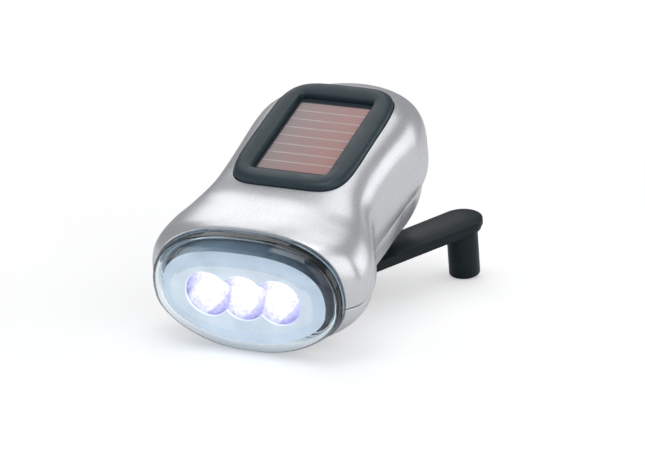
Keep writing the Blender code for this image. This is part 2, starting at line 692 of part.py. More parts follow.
def build_panel(frame, upper):
    """Solar bezel, cell and pad, in a seat cut into the back of the upper half."""
    panel = add_empty("panel_frame", frame, (0, PANEL_Y, PANEL_HEIGHT),
                      (math.radians(PANEL_TILT_DEG), 0, 0))
    def outer(inset, height):
        return rounded_loop(BEZEL_HALF_WIDTH - inset, BEZEL_HALF_LENGTH - inset,
                            (BEZEL_FRONT_POWER, BEZEL_REAR_POWER), BEZEL_MIDDLE_Y, height)

    seat = lofted("panel_seat", [outer(-FIT_GAP, z) for z in (-POCKET_DEPTH, BEZEL_RISE + CUT_OVERRUN)])
    boolean(upper, add_cutter("panel_seat", seat, panel))
    lead_hole = drum("cell_lead_hole", WALL, -POCKET_DEPTH - CUT_OVERRUN, 0, SMALL_ROUND_STEPS)
    boolean(upper, add_cutter("cell_lead_hole", lead_hole, panel, (0, WINDOW_HALF_LENGTH / 2, 0)))

    floor = -POCKET_DEPTH + FIT_GAP
    cell_half_width = WINDOW_HALF_WIDTH + WINDOW_LIP
    cell_half_length = WINDOW_HALF_LENGTH + WINDOW_LIP
    lip = FIT_GAP

    def hugging(inset, share):
        """A ring between the housing's surface and the crest."""
        tilt = math.radians(PANEL_TILT_DEG)
        ring = []
        for x, y, _ in outer(inset, 0):
            edge = crown_height(x, PANEL_Y + y * math.cos(tilt), 0) - panel_height(PANEL_Y + y, 0)
            edge = min(edge + BEZEL_PROUD, BEZEL_RISE - BEZEL_EDGE)
            ring.append((x, y, edge + (BEZEL_RISE - edge) * share))
        return ring

    def window(grow, height):
        return rounded_loop(WINDOW_HALF_WIDTH + grow, WINDOW_HALF_LENGTH + grow,
                            (WINDOW_CORNER_POWER, WINDOW_CORNER_POWER), WINDOW_MIDDLE_Y, height)

    under = WINDOW_LIP + FIT_GAP
    rings = [outer(0, floor), hugging(0, 0), hugging(BEZEL_EDGE, 0.45),
             hugging(BEZEL_SLOPE, 0.85), outer(BEZEL_SLOPE + BEZEL_EDGE, BEZEL_RISE),
             window(WINDOW_CHAMFER, BEZEL_RISE), window(0, BEZEL_RISE - WINDOW_CHAMFER_HEIGHT),
             window(0, lip), window(under, lip), window(under, floor)]
    add_part("solar_bezel", lofted("solar_bezel", rings, closed=True), BLACK_PLASTIC, panel)
    cell = lofted("solar_cell", [window(WINDOW_LIP, height) for height in (-CELL_THICKNESS, 0)])
    add_part("solar_cell", cell, SOLAR_BROWN, panel)
    pad = block("cell_pad", (CELL_PAD_INSET - cell_half_width, CELL_PAD_INSET - cell_half_length, floor),
                (cell_half_width - CELL_PAD_INSET, cell_half_length - CELL_PAD_INSET,
                 -CELL_THICKNESS - FIT_GAP))
    pad_part = add_part("cell_pad", pad, BLACK_PLASTIC, panel)
    boolean(pad_part, add_cutter("pad_lead_hole", lead_hole.copy(), panel, (0, WINDOW_HALF_LENGTH / 2, 0)))


def build_lens(frame):
    """The clear cap over the lamps: a spigot in the housing, straight sides and a bulged face."""
    face_y = SEAM_Y - LENS_DEPTH
    rim_y = SEAM_Y - FIT_GAP / 2
    side_y = SEAM_Y - LENS_DEPTH * LENS_SIDE_SHARE
    lip_inset = WALL + 2 * FIT_GAP
    lip_y = SEAM_Y + LIP_LENGTH
    outside = [(lip_y, lip_inset), (rim_y, lip_inset), (rim_y, 0), (side_y, 0)]
    inside = [(lip_y, lip_inset + LIP_WALL), (rim_y, lip_inset + LIP_WALL), (side_y, LENS_WALL)]
    edge_depth = face_y + LENS_CROWN - side_y
    for edge_steps, wall, rings in ((LENS_EDGE_STEPS, 0, outside), (LENS_INNER_STEPS, LENS_WALL, inside)):
        for i in range(1, edge_steps + 1):
            angle = math.radians(90 * i / edge_steps)
            draw = LENS_EDGE_INSET * (1 - math.cos(angle))
            rings.append((side_y + (edge_depth + wall) * math.sin(angle), draw + wall))
    half_height = PARTING_HEIGHT * TOP_HEIGHT_SHARES[0]
    outside.append((face_y + LENS_CROWN / 4, (LENS_EDGE_INSET + half_height) / 2))
    outside.append((face_y, half_height))
    inside.append((face_y + LENS_WALL, half_height))
    rings = [lens_loop(y, inset) for y, inset in reversed(outside)]
    rings += [lens_loop(y, inset) for y, inset in inside]
    add_part("lens_cap", lofted("lens_cap", rings), CLEAR, frame)


def cup_profile(back):
    """A reflector cup's opening, from over its mouth down to its floor."""
    points = [(0, CUT_OVERRUN), (CUP_RADIUS, CUT_OVERRUN)]
    for i in range(CUP_STEPS + 1):
        share = 1 - i / CUP_STEPS
        radius = CUP_FLOOR_RADIUS + (CUP_RADIUS - CUP_FLOOR_RADIUS) * share ** CUP_POWER
        points.append((radius, back * (1 - share)))
    points.append((0, back))
    return points


def build_lamps(frame):
    """Reflector with three cups, the lamps in them and the board that carries them."""
    rear_y = LAMP_BOARD_FRONT_Y - FIT_GAP
    skirt_inset = WALL + 2 * FIT_GAP + LIP_WALL + FIT_GAP
    rim_y = SEAM_Y - FIT_GAP
    rings = [lens_loop(REFLECTOR_FACE_Y, REFLECTOR_INSET), lens_loop(rim_y, skirt_inset + FIT_GAP),
             lens_loop(rear_y, skirt_inset), lens_loop(rear_y, skirt_inset + REFLECTOR_WALL),
             lens_loop(REFLECTOR_FACE_Y + REFLECTOR_WALL, REFLECTOR_INSET + REFLECTOR_WALL)]
    reflector = add_part("reflector", lofted("reflector", rings), MIRROR, frame)
    floor = CUP_DEPTH
    places = (("led_left", -CUP_PITCH), ("led_middle", 0), ("led_right", CUP_PITCH))
    facing = (math.radians(90), 0, 0)
    for name, x in places:
        stagger = 0 if x else FIT_GAP / 2
        rim, back = -REFLECTOR_WALL / 2 - stagger, -floor - CUP_WALL + stagger
        outer = CUP_RADIUS + CUP_WALL
        body = turned(name + "_cup", [(0, rim), (outer, rim), (outer, -floor / 2),
                                      (CUP_FLOOR_RADIUS + 2 * CUP_WALL, back), (0, back)],
                      SMALL_ROUND_STEPS + 4)
        boolean(reflector, add_cutter(name + "_cup", body, frame, (x, REFLECTOR_FACE_Y, CUP_HEIGHT), facing),
                "UNION")
    for name, x in places:
        well = turned(name + "_well", cup_profile(-floor), SMALL_ROUND_STEPS + 8)
        boolean(reflector, add_cutter(name + "_well", well, frame, (x, REFLECTOR_FACE_Y, CUP_HEIGHT), facing))
        neck = drum(name + "_neck", LED_RADIUS + FIT_GAP, -floor - CUT_OVERRUN, 0, SMALL_ROUND_STEPS)
        boolean(reflector, add_cutter(name + "_neck", neck, frame, (x, REFLECTOR_FACE_Y, CUP_HEIGHT), facing))
    base = -rear_y
    for name, x in places:
        tip = base + LED_LENGTH
        shoulder = tip - LED_RADIUS
        profile = [(0, tip)]
        for i in range(1, LAMP_DOME_STEPS + 1):
            angle = math.radians(90 * i / LAMP_DOME_STEPS)
            profile.append((LED_RADIUS * math.sin(angle), shoulder + LED_RADIUS * math.cos(angle)))
        profile += [(LED_RADIUS, base + LED_FLANGE), (LED_FLANGE_RADIUS, base + LED_FLANGE),
                    (LED_FLANGE_RADIUS, base), (0, base)]
        led = add_part(name, turned(name, profile, SMALL_ROUND_STEPS), LED_WHITE, frame, (x, 0, CUP_HEIGHT))
        led.rotation_euler = facing
    board = [lens_loop(y, skirt_inset) for y in (LAMP_BOARD_FRONT_Y, LAMP_BOARD_FRONT_Y + LAMP_BOARD_THICKNESS)]
    add_part("led_board", lofted("led_board", board), GREEN_BOARD, frame)


def involute(angle):
    """The involute function of a pressure angle."""
    return math.tan(angle) - angle


def gear_outline(teeth, module, start=0.0):
    """A spur gear's outline with involute flanks, its first tooth centred on an angle."""
    pressure = math.radians(PRESSURE_DEG)
    pitch = module * teeth / 2
    base = pitch * math.cos(pressure)
    tip = pitch + ADDENDUM_SHARE * module
    root = pitch - DEDENDUM_SHARE * module
    half_tooth = math.pi / (2 * teeth) - BACKLASH_SHARE * module / (2 * pitch)
    start_radius = max(base, root)
    flank = []
    for i in range(FLANK_POINTS):
        radius = start_radius + (tip - start_radius) * i / (FLANK_POINTS - 1)
        local = math.acos(min(base / radius, 1))
        flank.append((radius, half_tooth + involute(pressure) - involute(local)))
    points = []
    for k in range(teeth):
        middle = start + 2 * math.pi * k / teeth
        foot = [(root, flank[0][1])] if root < start_radius else []
        points += [(radius, middle - half) for radius, half in foot + flank]
        points += [(radius, middle + half) for radius, half in reversed(foot + flank)]
    return [(radius * math.cos(angle), radius * math.sin(angle)) for radius, angle in points]


def gear_places():
    """Where the idler and the rotor turn, on a line towards the tail and back."""
    idler_y = CRANK_MODULE * (CRANK_TEETH + IDLER_PINION_TEETH) / 2
    rotor_y = idler_y - ROTOR_MODULE * (IDLER_WHEEL_TEETH + ROTOR_PINION_TEETH) / 2
    return idler_y, rotor_y


def build_gears(frame, crank):
    """Crank gear, idler and rotor pinion, in mesh at rest."""
    idler_y, rotor_y = gear_places()
    gear_top = CRANK_GEAR_BASE + CRANK_GEAR_WIDTH
    bore_radius = SHAFT_RADIUS + FIT_GAP
    towards_tail = math.radians(90)
    crank_outline = gear_outline(CRANK_TEETH, CRANK_MODULE, towards_tail - math.radians(ARM_AZIMUTH_DEG))
    gear = add_part("crank_gear", prism("crank_gear", crank_outline, CRANK_GEAR_BASE, gear_top),
                    WHITE_PLASTIC, crank)
    low, high = CRANK_GEAR_BASE - CUT_OVERRUN, gear_top + CUT_OVERRUN
    bore(gear, crank, "crank_gear_bore", 0, 0, bore_radius, low, high)

    idler = add_empty("idler_axis", frame, (0, idler_y, 0))
    pinion_start = -towards_tail + math.pi / IDLER_PINION_TEETH
    wheel_start = -towards_tail
    wheel_top = IDLER_WHEEL_BASE + IDLER_WHEEL_WIDTH
    wheel = prism("idler_gear", gear_outline(IDLER_WHEEL_TEETH, ROTOR_MODULE, wheel_start),
                  IDLER_WHEEL_BASE, wheel_top)
    wheel_part = add_part("idler_gear", wheel, WHITE_PLASTIC, idler)
    pinion = prism("idler_pinion", gear_outline(IDLER_PINION_TEETH, CRANK_MODULE, pinion_start),
                   CRANK_GEAR_BASE - FIT_GAP, IDLER_WHEEL_BASE + IDLER_WHEEL_WIDTH / 2)
    boolean(wheel_part, add_cutter("idler_pinion", pinion, idler), "UNION")
    bore(wheel_part, idler, "idler_bore", 0, 0, AXLE_RADIUS + FIT_GAP, low, wheel_top + CUT_OVERRUN)

    rotor = add_empty("rotor_axis", frame, (0, rotor_y, 0))
    rotor_start = towards_tail + math.pi / ROTOR_PINION_TEETH
    pinion = prism("rotor_pinion", gear_outline(ROTOR_PINION_TEETH, ROTOR_MODULE, rotor_start),
                   IDLER_WHEEL_BASE - FIT_GAP, wheel_top + FIT_GAP)
    rotor_pinion = add_part("rotor_pinion", pinion, BRASS, rotor)
    bore(rotor_pinion, rotor, "rotor_pinion_bore", 0, 0, ROTOR_SHAFT_RADIUS + FIT_GAP, low,
         wheel_top + CUT_OVERRUN)
    return rotor, idler_y, rotor_y


def hull_outline(places, radius):
    """The outline of a plate that goes round discs at the given places."""
    angles = [2 * math.pi * i / HULL_STEPS for i in range(HULL_STEPS)]
    cloud = [(x + radius * math.cos(a), y + radius * math.sin(a)) for x, y in places for a in angles]
    cloud = sorted(set(cloud))

    def chain(points):
        kept = []
        for p in points:
            while len(kept) > 1 and ((kept[-1][0] - kept[-2][0]) * (p[1] - kept[-2][1])
                                     - (kept[-1][1] - kept[-2][1]) * (p[0] - kept[-2][0])) <= 0:
                kept.pop()
            kept.append(p)
        return kept[:-1]

    return chain(cloud) + chain(cloud[::-1])


def build_gear_frame(frame, lower, idler_y, rotor_y):
    """Posts, plate and axle that carry the gear train."""
    plate_top = GEAR_PLATE_BASE + GEAR_PLATE_THICKNESS
    for index, (x, y) in enumerate(post_places()):
        add_column(lower, frame, f"plate_post_{index}", x, y, POST_RADIUS, -CUT_OVERRUN,
                   GEAR_PLATE_BASE - FIT_GAP)
        add_column(lower, frame, f"plate_pin_{index}", x, y, POST_PIN_RADIUS, CRANK_GEAR_BASE, plate_top)
    boss_top = CRANK_GEAR_BASE - 2 * FIT_GAP
    add_column(lower, frame, "idler_boss", 0, idler_y, IDLER_BOSS_RADIUS, WALL / 2, boss_top)
    bore(lower, frame, "idler_boss_bore", 0, idler_y, AXLE_RADIUS + FIT_GAP, WALL, boss_top + CUT_OVERRUN)
    axle = drum("idler_axle", AXLE_RADIUS, WALL + FIT_GAP, plate_top, SMALL_ROUND_STEPS)
    add_part("idler_axle", axle, STEEL, frame, (0, idler_y, 0))
    plate = add_part("gear_plate", prism("gear_plate", hull_outline(post_places(), PLATE_MARGIN),
                                         GEAR_PLATE_BASE, plate_top), STEEL, frame)
    low, high = GEAR_PLATE_BASE - CUT_OVERRUN, plate_top + CUT_OVERRUN
    for index, (x, y) in enumerate(post_places()):
        bore(plate, frame, f"plate_pin_hole_{index}", x, y, POST_PIN_RADIUS + FIT_GAP, low, high)
    bore(plate, frame, "plate_axle_hole", 0, idler_y, AXLE_RADIUS + FIT_GAP, low, high)
    bore(plate, frame, "plate_rotor_hole", 0, rotor_y, ROTOR_SHAFT_RADIUS + FIT_GAP, low, high)
    bore(plate, frame, "plate_shaft_hole", 0, 0, SHAFT_RADIUS + FIT_GAP, low, high)


def build_generator(frame, rotor, rotor_y):
    """Ring magnet on its shaft, inside a wound coil in a steel can."""
    plate_top = GEAR_PLATE_BASE + GEAR_PLATE_THICKNESS
    can_low = plate_top + FIT_GAP
    can_high = can_low + CAN_HEIGHT
    place = (0, rotor_y, 0)
    shaft_hole = ROTOR_SHAFT_RADIUS + FIT_GAP
    shaft_room = SHAFT_RADIUS + FIT_GAP
    can = turned("stator_can", [(CAN_RADIUS, can_high), (CAN_RADIUS, can_low), (shaft_room, can_low),
                                (shaft_room, can_low + CAN_WALL), (CAN_RADIUS - CAN_WALL, can_low + CAN_WALL),
                                (CAN_RADIUS - CAN_WALL, can_high)], INNER_ROUND_STEPS, ring=True)
    add_part("stator_can", can, STEEL, frame, place)
    lid_low = can_high + FIT_GAP
    add_part("stator_lid", tube("stator_lid", CAN_RADIUS, shaft_hole, lid_low, lid_low + CAN_WALL,
                                INNER_ROUND_STEPS), STEEL, frame, place)
    low = can_low + CAN_WALL + FIT_GAP
    high = can_high
    inner = MAGNET_RADIUS + AIR_GAP
    core = inner + BOBBIN_WALL
    flange = CAN_RADIUS - CAN_WALL - FIT_GAP
    bobbin = turned("coil_bobbin", [(flange, high), (flange, high - BOBBIN_WALL), (core, high - BOBBIN_WALL),
                                    (core, low + BOBBIN_WALL), (flange, low + BOBBIN_WALL), (flange, low),
                                    (inner, low), (inner, high)], INNER_ROUND_STEPS, ring=True)
    add_part("coil_bobbin", bobbin, WHITE_PLASTIC, frame, place)
    add_part("coil_winding", tube("coil_winding", WINDING_RADIUS, core + FIT_GAP,
                                  low + BOBBIN_WALL + FIT_GAP, high - BOBBIN_WALL - FIT_GAP,
                                  INNER_ROUND_STEPS), COPPER, frame, place)
    add_part("rotor_magnet", tube("rotor_magnet", MAGNET_RADIUS, shaft_hole, low + FIT_GAP, high - FIT_GAP,
                                  SMALL_ROUND_STEPS), MAGNET_GREY, rotor)
    add_part("rotor_shaft", drum("rotor_shaft", ROTOR_SHAFT_RADIUS, IDLER_WHEEL_BASE - FIT_GAP,
                                 lid_low + CAN_WALL, SMALL_ROUND_STEPS), STEEL, rotor)
    return lid_low + CAN_WALL


def yoke_outline():
    """The yoke's outline: a rectangle with rounded corners, along the arm."""
    half = ARM_WIDTH / 2 + FIT_GAP + YOKE_EAR
    points = []
    for sx, sy, start in ((1, 1, 0), (-1, 1, 90), (-1, -1, 180), (1, -1, 270)):
        for i in range(CORNER_STEPS + 1):
            angle = math.radians(start + 90 * i / CORNER_STEPS)
            points.append((sx * (YOKE_HALF_LENGTH - YOKE_CORNER) + YOKE_CORNER * math.cos(angle),
                           sy * (half - YOKE_CORNER) + YOKE_CORNER * math.sin(angle)))
    return points


def arm_outline(inset):
    """The arm's outline from its fold pin to its round tip, along +X."""
    root = ARM_WIDTH / 2 - inset
    tip = ARM_TIP_WIDTH / 2 - inset
    points = [(FOLD_PIN_OFFSET, -root)]
    for i in range(TIP_STEPS + 1):
        angle = math.radians(-90 + 180 * i / TIP_STEPS)
        points.append((ARM_LENGTH + tip * math.cos(angle), tip * math.sin(angle)))
    points.append((FOLD_PIN_OFFSET, root))
    return points


def build_crank(frame, lower):
    """Yoke and shaft, folding arm, turning knob, and the bush that they run in."""
    crank = add_empty("crank_axis", frame, (0, 0, 0), (0, 0, math.radians(ARM_AZIMUTH_DEG)))
    arm_top = -ARM_DROP
    arm_middle = arm_top - ARM_THICKNESS / 2
    arm_bottom = arm_top - ARM_THICKNESS
    yoke_ceiling = arm_top + FIT_GAP
    yoke_top = yoke_ceiling + YOKE_FLOOR
    stub_top = CRANK_GEAR_BASE - FIT_GAP
    yoke = add_part("crank_yoke", prism("crank_yoke", yoke_outline(), arm_bottom, yoke_top),
                    BLACK_PLASTIC, crank)
    channel = block("yoke_channel", (-YOKE_HALF_LENGTH - CUT_OVERRUN, -ARM_WIDTH / 2 - FIT_GAP,
                                     arm_bottom - CUT_OVERRUN),
                    (YOKE_HALF_LENGTH + CUT_OVERRUN, ARM_WIDTH / 2 + FIT_GAP, yoke_ceiling))
    boolean(yoke, add_cutter("yoke_channel", channel, crank))
    stub = drum("yoke_stub", STUB_RADIUS, yoke_top - YOKE_FLOOR / 2, stub_top, SMALL_ROUND_STEPS + 8)
    boolean(yoke, add_cutter("yoke_stub", stub, crank), "UNION")
    shaft_low = yoke_top + FIT_GAP
    bore(yoke, crank, "yoke_shaft_bore", 0, 0, SHAFT_RADIUS + FIT_GAP, yoke_top, stub_top + CUT_OVERRUN)
    shaft_top = GEAR_PLATE_BASE + GEAR_PLATE_THICKNESS
    add_part("crank_shaft", drum("crank_shaft", SHAFT_RADIUS, shaft_low, shaft_top, SMALL_ROUND_STEPS),
             STEEL, crank)
    clip_low = CRANK_GEAR_BASE + CRANK_GEAR_WIDTH + FIT_GAP
    add_part("shaft_clip", tube("shaft_clip", SHAFT_RADIUS + CLIP_WIDTH, SHAFT_RADIUS + FIT_GAP, clip_low,
                                clip_low + CLIP_THICKNESS, SMALL_ROUND_STEPS), STEEL, crank)

    fold = add_empty("fold_axis", crank, (FOLD_PIN_OFFSET, 0, arm_middle))
    shift = (-FOLD_PIN_OFFSET, 0, -arm_middle)
    cap_low = arm_top - ARM_CAP_THICKNESS
    rings = [[(x, y, z) for x, y in arm_outline(inset)]
             for inset, z in ((ARM_STEP, arm_bottom), (ARM_STEP, cap_low), (0, cap_low), (0, arm_top))]
    arm = add_part("crank_arm", lofted("crank_arm", rings), BLACK_PLASTIC, fold, shift)
    across = (math.radians(90), 0, 0)
    half = ARM_WIDTH / 2
    root_half = half - ARM_STEP / 2
    root = drum("arm_root", ARM_THICKNESS / 2 - FIT_GAP / 2, -root_half, root_half, SMALL_ROUND_STEPS)
    boolean(arm, add_cutter("arm_root", root, fold, (0, 0, 0), across), "UNION")
    pin_hole = drum("fold_pin_hole", FOLD_PIN_RADIUS + FIT_GAP, -half - CUT_OVERRUN - YOKE_EAR,
                    half + CUT_OVERRUN + YOKE_EAR, SMALL_ROUND_STEPS)
    hole = add_cutter("fold_pin_hole", pin_hole, fold, (0, 0, 0), across)
    boolean(arm, hole)
    boolean(yoke, hole)
    ear_end = half + FIT_GAP + YOKE_EAR
    pin = add_part("fold_pin", drum("fold_pin", FOLD_PIN_RADIUS, -ear_end, ear_end, SMALL_ROUND_STEPS),
                   STEEL, crank, (FOLD_PIN_OFFSET, 0, arm_middle))
    pin.rotation_euler = across

    knob_axis = add_empty("knob_axis", fold, (ARM_LENGTH - FOLD_PIN_OFFSET, 0, 0))
    knob_top = arm_bottom - KNOB_GAP - arm_middle
    knob_low = knob_top - KNOB_LENGTH
    hole_radius = KNOB_PIN_RADIUS + FIT_GAP
    seat_radius = KNOB_PIN_HEAD_RADIUS + FIT_GAP
    seat = knob_low + KNOB_SEAT_DEPTH
    knob = turned("crank_knob", [(KNOB_RADIUS - KNOB_EDGE, knob_top), (KNOB_RADIUS, knob_top - KNOB_EDGE),
                                 (KNOB_RADIUS, knob_low + KNOB_EDGE), (KNOB_RADIUS - KNOB_EDGE, knob_low),
                                 (seat_radius, knob_low), (seat_radius, seat), (hole_radius, seat),
                                 (hole_radius, knob_top)], ring=True)
    add_part("crank_knob", knob, BLACK_PLASTIC, knob_axis)
    head_top = seat - FIT_GAP
    pin_top = ARM_THICKNESS / 2 - ARM_CAP_THICKNESS / 2
    profile = [(0, pin_top), (KNOB_PIN_RADIUS, pin_top), (KNOB_PIN_RADIUS, head_top),
               (KNOB_PIN_HEAD_RADIUS, head_top), (KNOB_PIN_HEAD_RADIUS, head_top - KNOB_PIN_HEAD),
               (0, head_top - KNOB_PIN_HEAD)]
    add_part("knob_pin", turned("knob_pin", profile, SMALL_ROUND_STEPS), STEEL, knob_axis)
    pin_room = drum("knob_pin_room", hole_radius, knob_top, pin_top + FIT_GAP, SMALL_ROUND_STEPS)
    boolean(arm, add_cutter("knob_pin_room", pin_room, knob_axis))

    bush_inner = STUB_RADIUS + FIT_GAP
    bush_outer = bush_inner + BUSH_WALL
    flange_low = WALL + FIT_GAP
    flange_top = flange_low + BUSH_RISE
    bush_flange = bush_outer + BUSH_FLANGE
    bush = turned("crank_bush", [(bush_flange, flange_top), (bush_flange, flange_low),
                                 (bush_outer, flange_low), (bush_outer, 0), (bush_inner, 0),
                                 (bush_inner, flange_top)], SMALL_ROUND_STEPS + 8, ring=True)
    add_part("crank_bush", bush, BRASS, frame)
    bore(lower, frame, "bush_seat", 0, 0, bush_outer + FIT_GAP, -CUT_OVERRUN, flange_low, SMALL_ROUND_STEPS + 8)
    return crank


def cut_knob_pocket(frame, lower):
    """The well in the underside that takes the knob when the crank is put away."""
    inner = KNOB_RADIUS + POCKET_CLEARANCE
    add_column(lower, frame, "pocket_well", 0, KNOB_POCKET_Y, inner + POCKET_WALL, WALL / 2,
               KNOB_POCKET_DEPTH + POCKET_WALL, ROUND_STEPS)
    bore(lower, frame, "pocket_bore", 0, KNOB_POCKET_Y, inner, -CUT_OVERRUN, KNOB_POCKET_DEPTH, ROUND_STEPS)


def build_battery(frame):
    """Three button cells side by side in a cradle, between two contacts."""
    well_top = KNOB_POCKET_DEPTH + POCKET_WALL
    cradle_low = well_top + FIT_GAP
    axis_height = cradle_low + CRADLE_WALL + FIT_GAP + CELL_RADIUS
    pitch = CELL_LENGTH + FIT_GAP
    stack = pitch * CELL_COUNT - FIT_GAP
    along = (0, math.radians(90), 0)
    for k in range(CELL_COUNT):
        middle = (k - (CELL_COUNT - 1) / 2) * pitch
        name = f"battery_cell_{k + 1}"
        body = drum(name, CELL_RADIUS, -CELL_LENGTH / 2, CELL_LENGTH / 2, INNER_ROUND_STEPS)
        cell = add_part(name, body, STEEL, frame, (middle, BATTERY_Y, axis_height))
        cell.rotation_euler = along
    contact_middle = stack / 2 + FIT_GAP + CONTACT_THICKNESS / 2
    for name, side in (("contact_minus", -1), ("contact_plus", 1)):
        half = CONTACT_THICKNESS / 2
        plate = block(name, (-half, -CONTACT_HALF, -CONTACT_HALF), (half, CONTACT_HALF, CONTACT_HALF))
        add_part(name, plate, BRASS, frame, (side * contact_middle, BATTERY_Y, axis_height))
    half_length = contact_middle + CONTACT_THICKNESS / 2 + FIT_GAP + CRADLE_WALL
    half_width = CELL_RADIUS
    cradle = block("battery_cradle", (-half_length, BATTERY_Y - half_width, cradle_low),
                   (half_length, BATTERY_Y + half_width, axis_height))
    cradle_part = add_part("battery_cradle", cradle, BLACK_PLASTIC, frame)
    inner = half_length - CRADLE_WALL
    trough = drum("battery_trough", CELL_RADIUS + FIT_GAP, -inner, inner, SMALL_ROUND_STEPS + 8)
    boolean(cradle_part, add_cutter("battery_trough", trough, frame, (0, BATTERY_Y, axis_height), along))


def build_board(frame, upper, roof):
    """Circuit board over the generator, hung from posts, with its storage capacitor."""
    low = max(BOARD_BASE, roof + FIT_GAP)
    top = low + BOARD_THICKNESS
    board = block("main_board", (-BOARD_HALF_WIDTH, BOARD_FRONT_Y, low), (BOARD_HALF_WIDTH, BOARD_REAR_Y, top))
    add_part("main_board", board, GREEN_BOARD, frame)
    reach_x = BOARD_HALF_WIDTH - BOARD_POST_RADIUS
    for index, (x, y) in enumerate(((-reach_x, BOARD_FRONT_Y + BOARD_POST_RADIUS),
                                    (reach_x, BOARD_FRONT_Y + BOARD_POST_RADIUS),
                                    (-reach_x, BOARD_REAR_Y - BOARD_POST_RADIUS),
                                    (reach_x, BOARD_REAR_Y - BOARD_POST_RADIUS))):
        add_column(upper, frame, f"board_post_{index}", x, y, BOARD_POST_RADIUS, top + FIT_GAP,
                   2 * BODY_HEIGHT)
    height = top + FIT_GAP + CAPACITOR_RADIUS
    half = CAPACITOR_LENGTH / 2
    edge = CAPACITOR_RADIUS / 8
    profile = [(0, half), (CAPACITOR_RADIUS - edge, half), (CAPACITOR_RADIUS, half - edge),
               (CAPACITOR_RADIUS, -half), (0, -half)]
    can = add_part("capacitor", turned("capacitor", profile, SMALL_ROUND_STEPS), BLACK_PLASTIC, frame,
                   (0, CAPACITOR_Y, height))
    can.rotation_euler = (0, math.radians(90), 0)


def build_switch(frame, lower):
    """Slide switch in the underside, near the tail, shown at its on end."""
    slot_half = SLIDER_LENGTH / 2 + FIT_GAP
    half_width = SLIDER_WIDTH / 2 + FIT_GAP
    slot = block("switch_slot", (-half_width, -slot_half, -CUT_OVERRUN),
                 (half_width, slot_half + SWITCH_TRAVEL, WALL + CUT_OVERRUN))
    boolean(lower, add_cutter("switch_slot", slot, frame, (0, SWITCH_Y, 0)))
    body_low = WALL + FIT_GAP
    stem_top = body_low + SWITCH_BODY_HEIGHT / 2
    body = block("switch_body",
                 (-half_width - SWITCH_BODY_MARGIN, -slot_half - SWITCH_BODY_MARGIN, body_low),
                 (half_width + SWITCH_BODY_MARGIN, slot_half + SWITCH_TRAVEL + SWITCH_BODY_MARGIN,
                  body_low + SWITCH_BODY_HEIGHT))
    body_part = add_part("switch_body", body, STEEL, frame, (0, SWITCH_Y, 0))
    room = block("switch_room", (-half_width, -slot_half, body_low - CUT_OVERRUN),
                 (half_width, slot_half + SWITCH_TRAVEL, stem_top + FIT_GAP))
    boolean(body_part, add_cutter("switch_room", room, frame, (0, SWITCH_Y, 0)))
    axis = add_empty("switch_axis", frame, (0, SWITCH_Y, 0))
    button = block("switch_slider", (-SLIDER_WIDTH / 2, -SLIDER_LENGTH / 2, -SLIDER_PROUD),
                   (SLIDER_WIDTH / 2, SLIDER_LENGTH / 2, stem_top))
    slider = add_part("switch_slider", button, BLACK_PLASTIC, axis)
    for k in range(RIDGE_COUNT):
        y = (k - (RIDGE_COUNT - 1) / 2) * RIDGE_PITCH
        groove = block(f"slider_groove_{k}", (-SLIDER_WIDTH, y - RIDGE_WIDTH / 2, -SLIDER_PROUD - FIT_GAP),
                       (SLIDER_WIDTH, y + RIDGE_WIDTH / 2, -SLIDER_PROUD / 2))
        boolean(slider, add_cutter(f"slider_groove_{k}", groove, axis))


def points_of(objects):
    """World points of the evaluated meshes of some objects."""
    graph = bpy.context.evaluated_depsgraph_get()
    cloud = []
    for obj in objects:
        shape = obj.evaluated_get(graph)
        mesh = shape.to_mesh()
        matrix = np.array(obj.matrix_world)
        local = np.array([vertex.co[:] for vertex in mesh.vertices])
        cloud.append(local @ matrix[:3, :3].T + matrix[:3, 3])
        shape.to_mesh_clear()
    return np.vstack(cloud)


def stand_up(frame):
    """Lean the torch on its nose and its knob, and stand it on the floor about the origin."""
    bpy.context.view_layer.update()
    parts = [obj for obj in collection(PARTS).objects if obj.type == "MESH"]
    nose = points_of([bpy.data.objects["lens_cap"]])
    knob = points_of([bpy.data.objects["crank_knob"]])

    def heights(cloud, lean):
        return cloud[:, 1] * math.sin(lean) + cloud[:, 2] * math.cos(lean)

    low, high = 0.0, math.radians(LEAN_LIMIT_DEG)
    while high - low > math.radians(LEAN_TOLERANCE_DEG):
        lean = (low + high) / 2
        if heights(knob, lean).min() < heights(nose, lean).min():
            low = lean
        else:
            high = lean
    frame.rotation_euler = (lean, 0, 0)
    bpy.context.view_layer.update()
    cloud = points_of(parts)
    middle = (cloud.min(axis=0) + cloud.max(axis=0)) / 2
    frame.location = (-middle[0], -middle[1], -cloud[:, 2].min())
    bpy.context.view_layer.update()


def main():
    """Build every sub-part in its place."""
    clear_scene()
    frame = add_empty("torch_frame", None)
    upper, lower = build_housing(frame)
    cut_knob_pocket(frame, lower)
    crank = build_crank(frame, lower)
    rotor, idler_y, rotor_y = build_gears(frame, crank)
    build_gear_frame(frame, lower, idler_y, rotor_y)
    roof = build_generator(frame, rotor, rotor_y)
    build_board(frame, upper, roof)
    build_battery(frame)
    build_switch(frame, lower)
    fit_screws(frame, upper, lower)
    build_panel(frame, upper)
    build_lens(frame)
    build_lamps(frame)
    for obj in collection(PARTS).objects:
        if obj.type == "MESH":
            obj.data.shade_smooth()
            obj.data.set_sharp_from_angle(angle=math.radians(SHARP_DEG))
    stand_up(frame)


main()
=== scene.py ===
"""Looks of a wind-up torch: its finishes, its smooth shells and the studio that it stands in.

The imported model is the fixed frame. The shells, the solar panel, the nose and the crank get finer
meshes in the same places, and every other node keeps its mesh and gets a finish. Lengths are in
metres, angles in degrees. Shapes are made in the torch's own layout, where the crank turns about Z
and the lamps look along -Y, and are then set on the frame.
"""
import sys

import json
import logging
import math
from collections.abc import Callable, Iterable, Mapping, Sequence
from dataclasses import dataclass, field
from enum import Enum

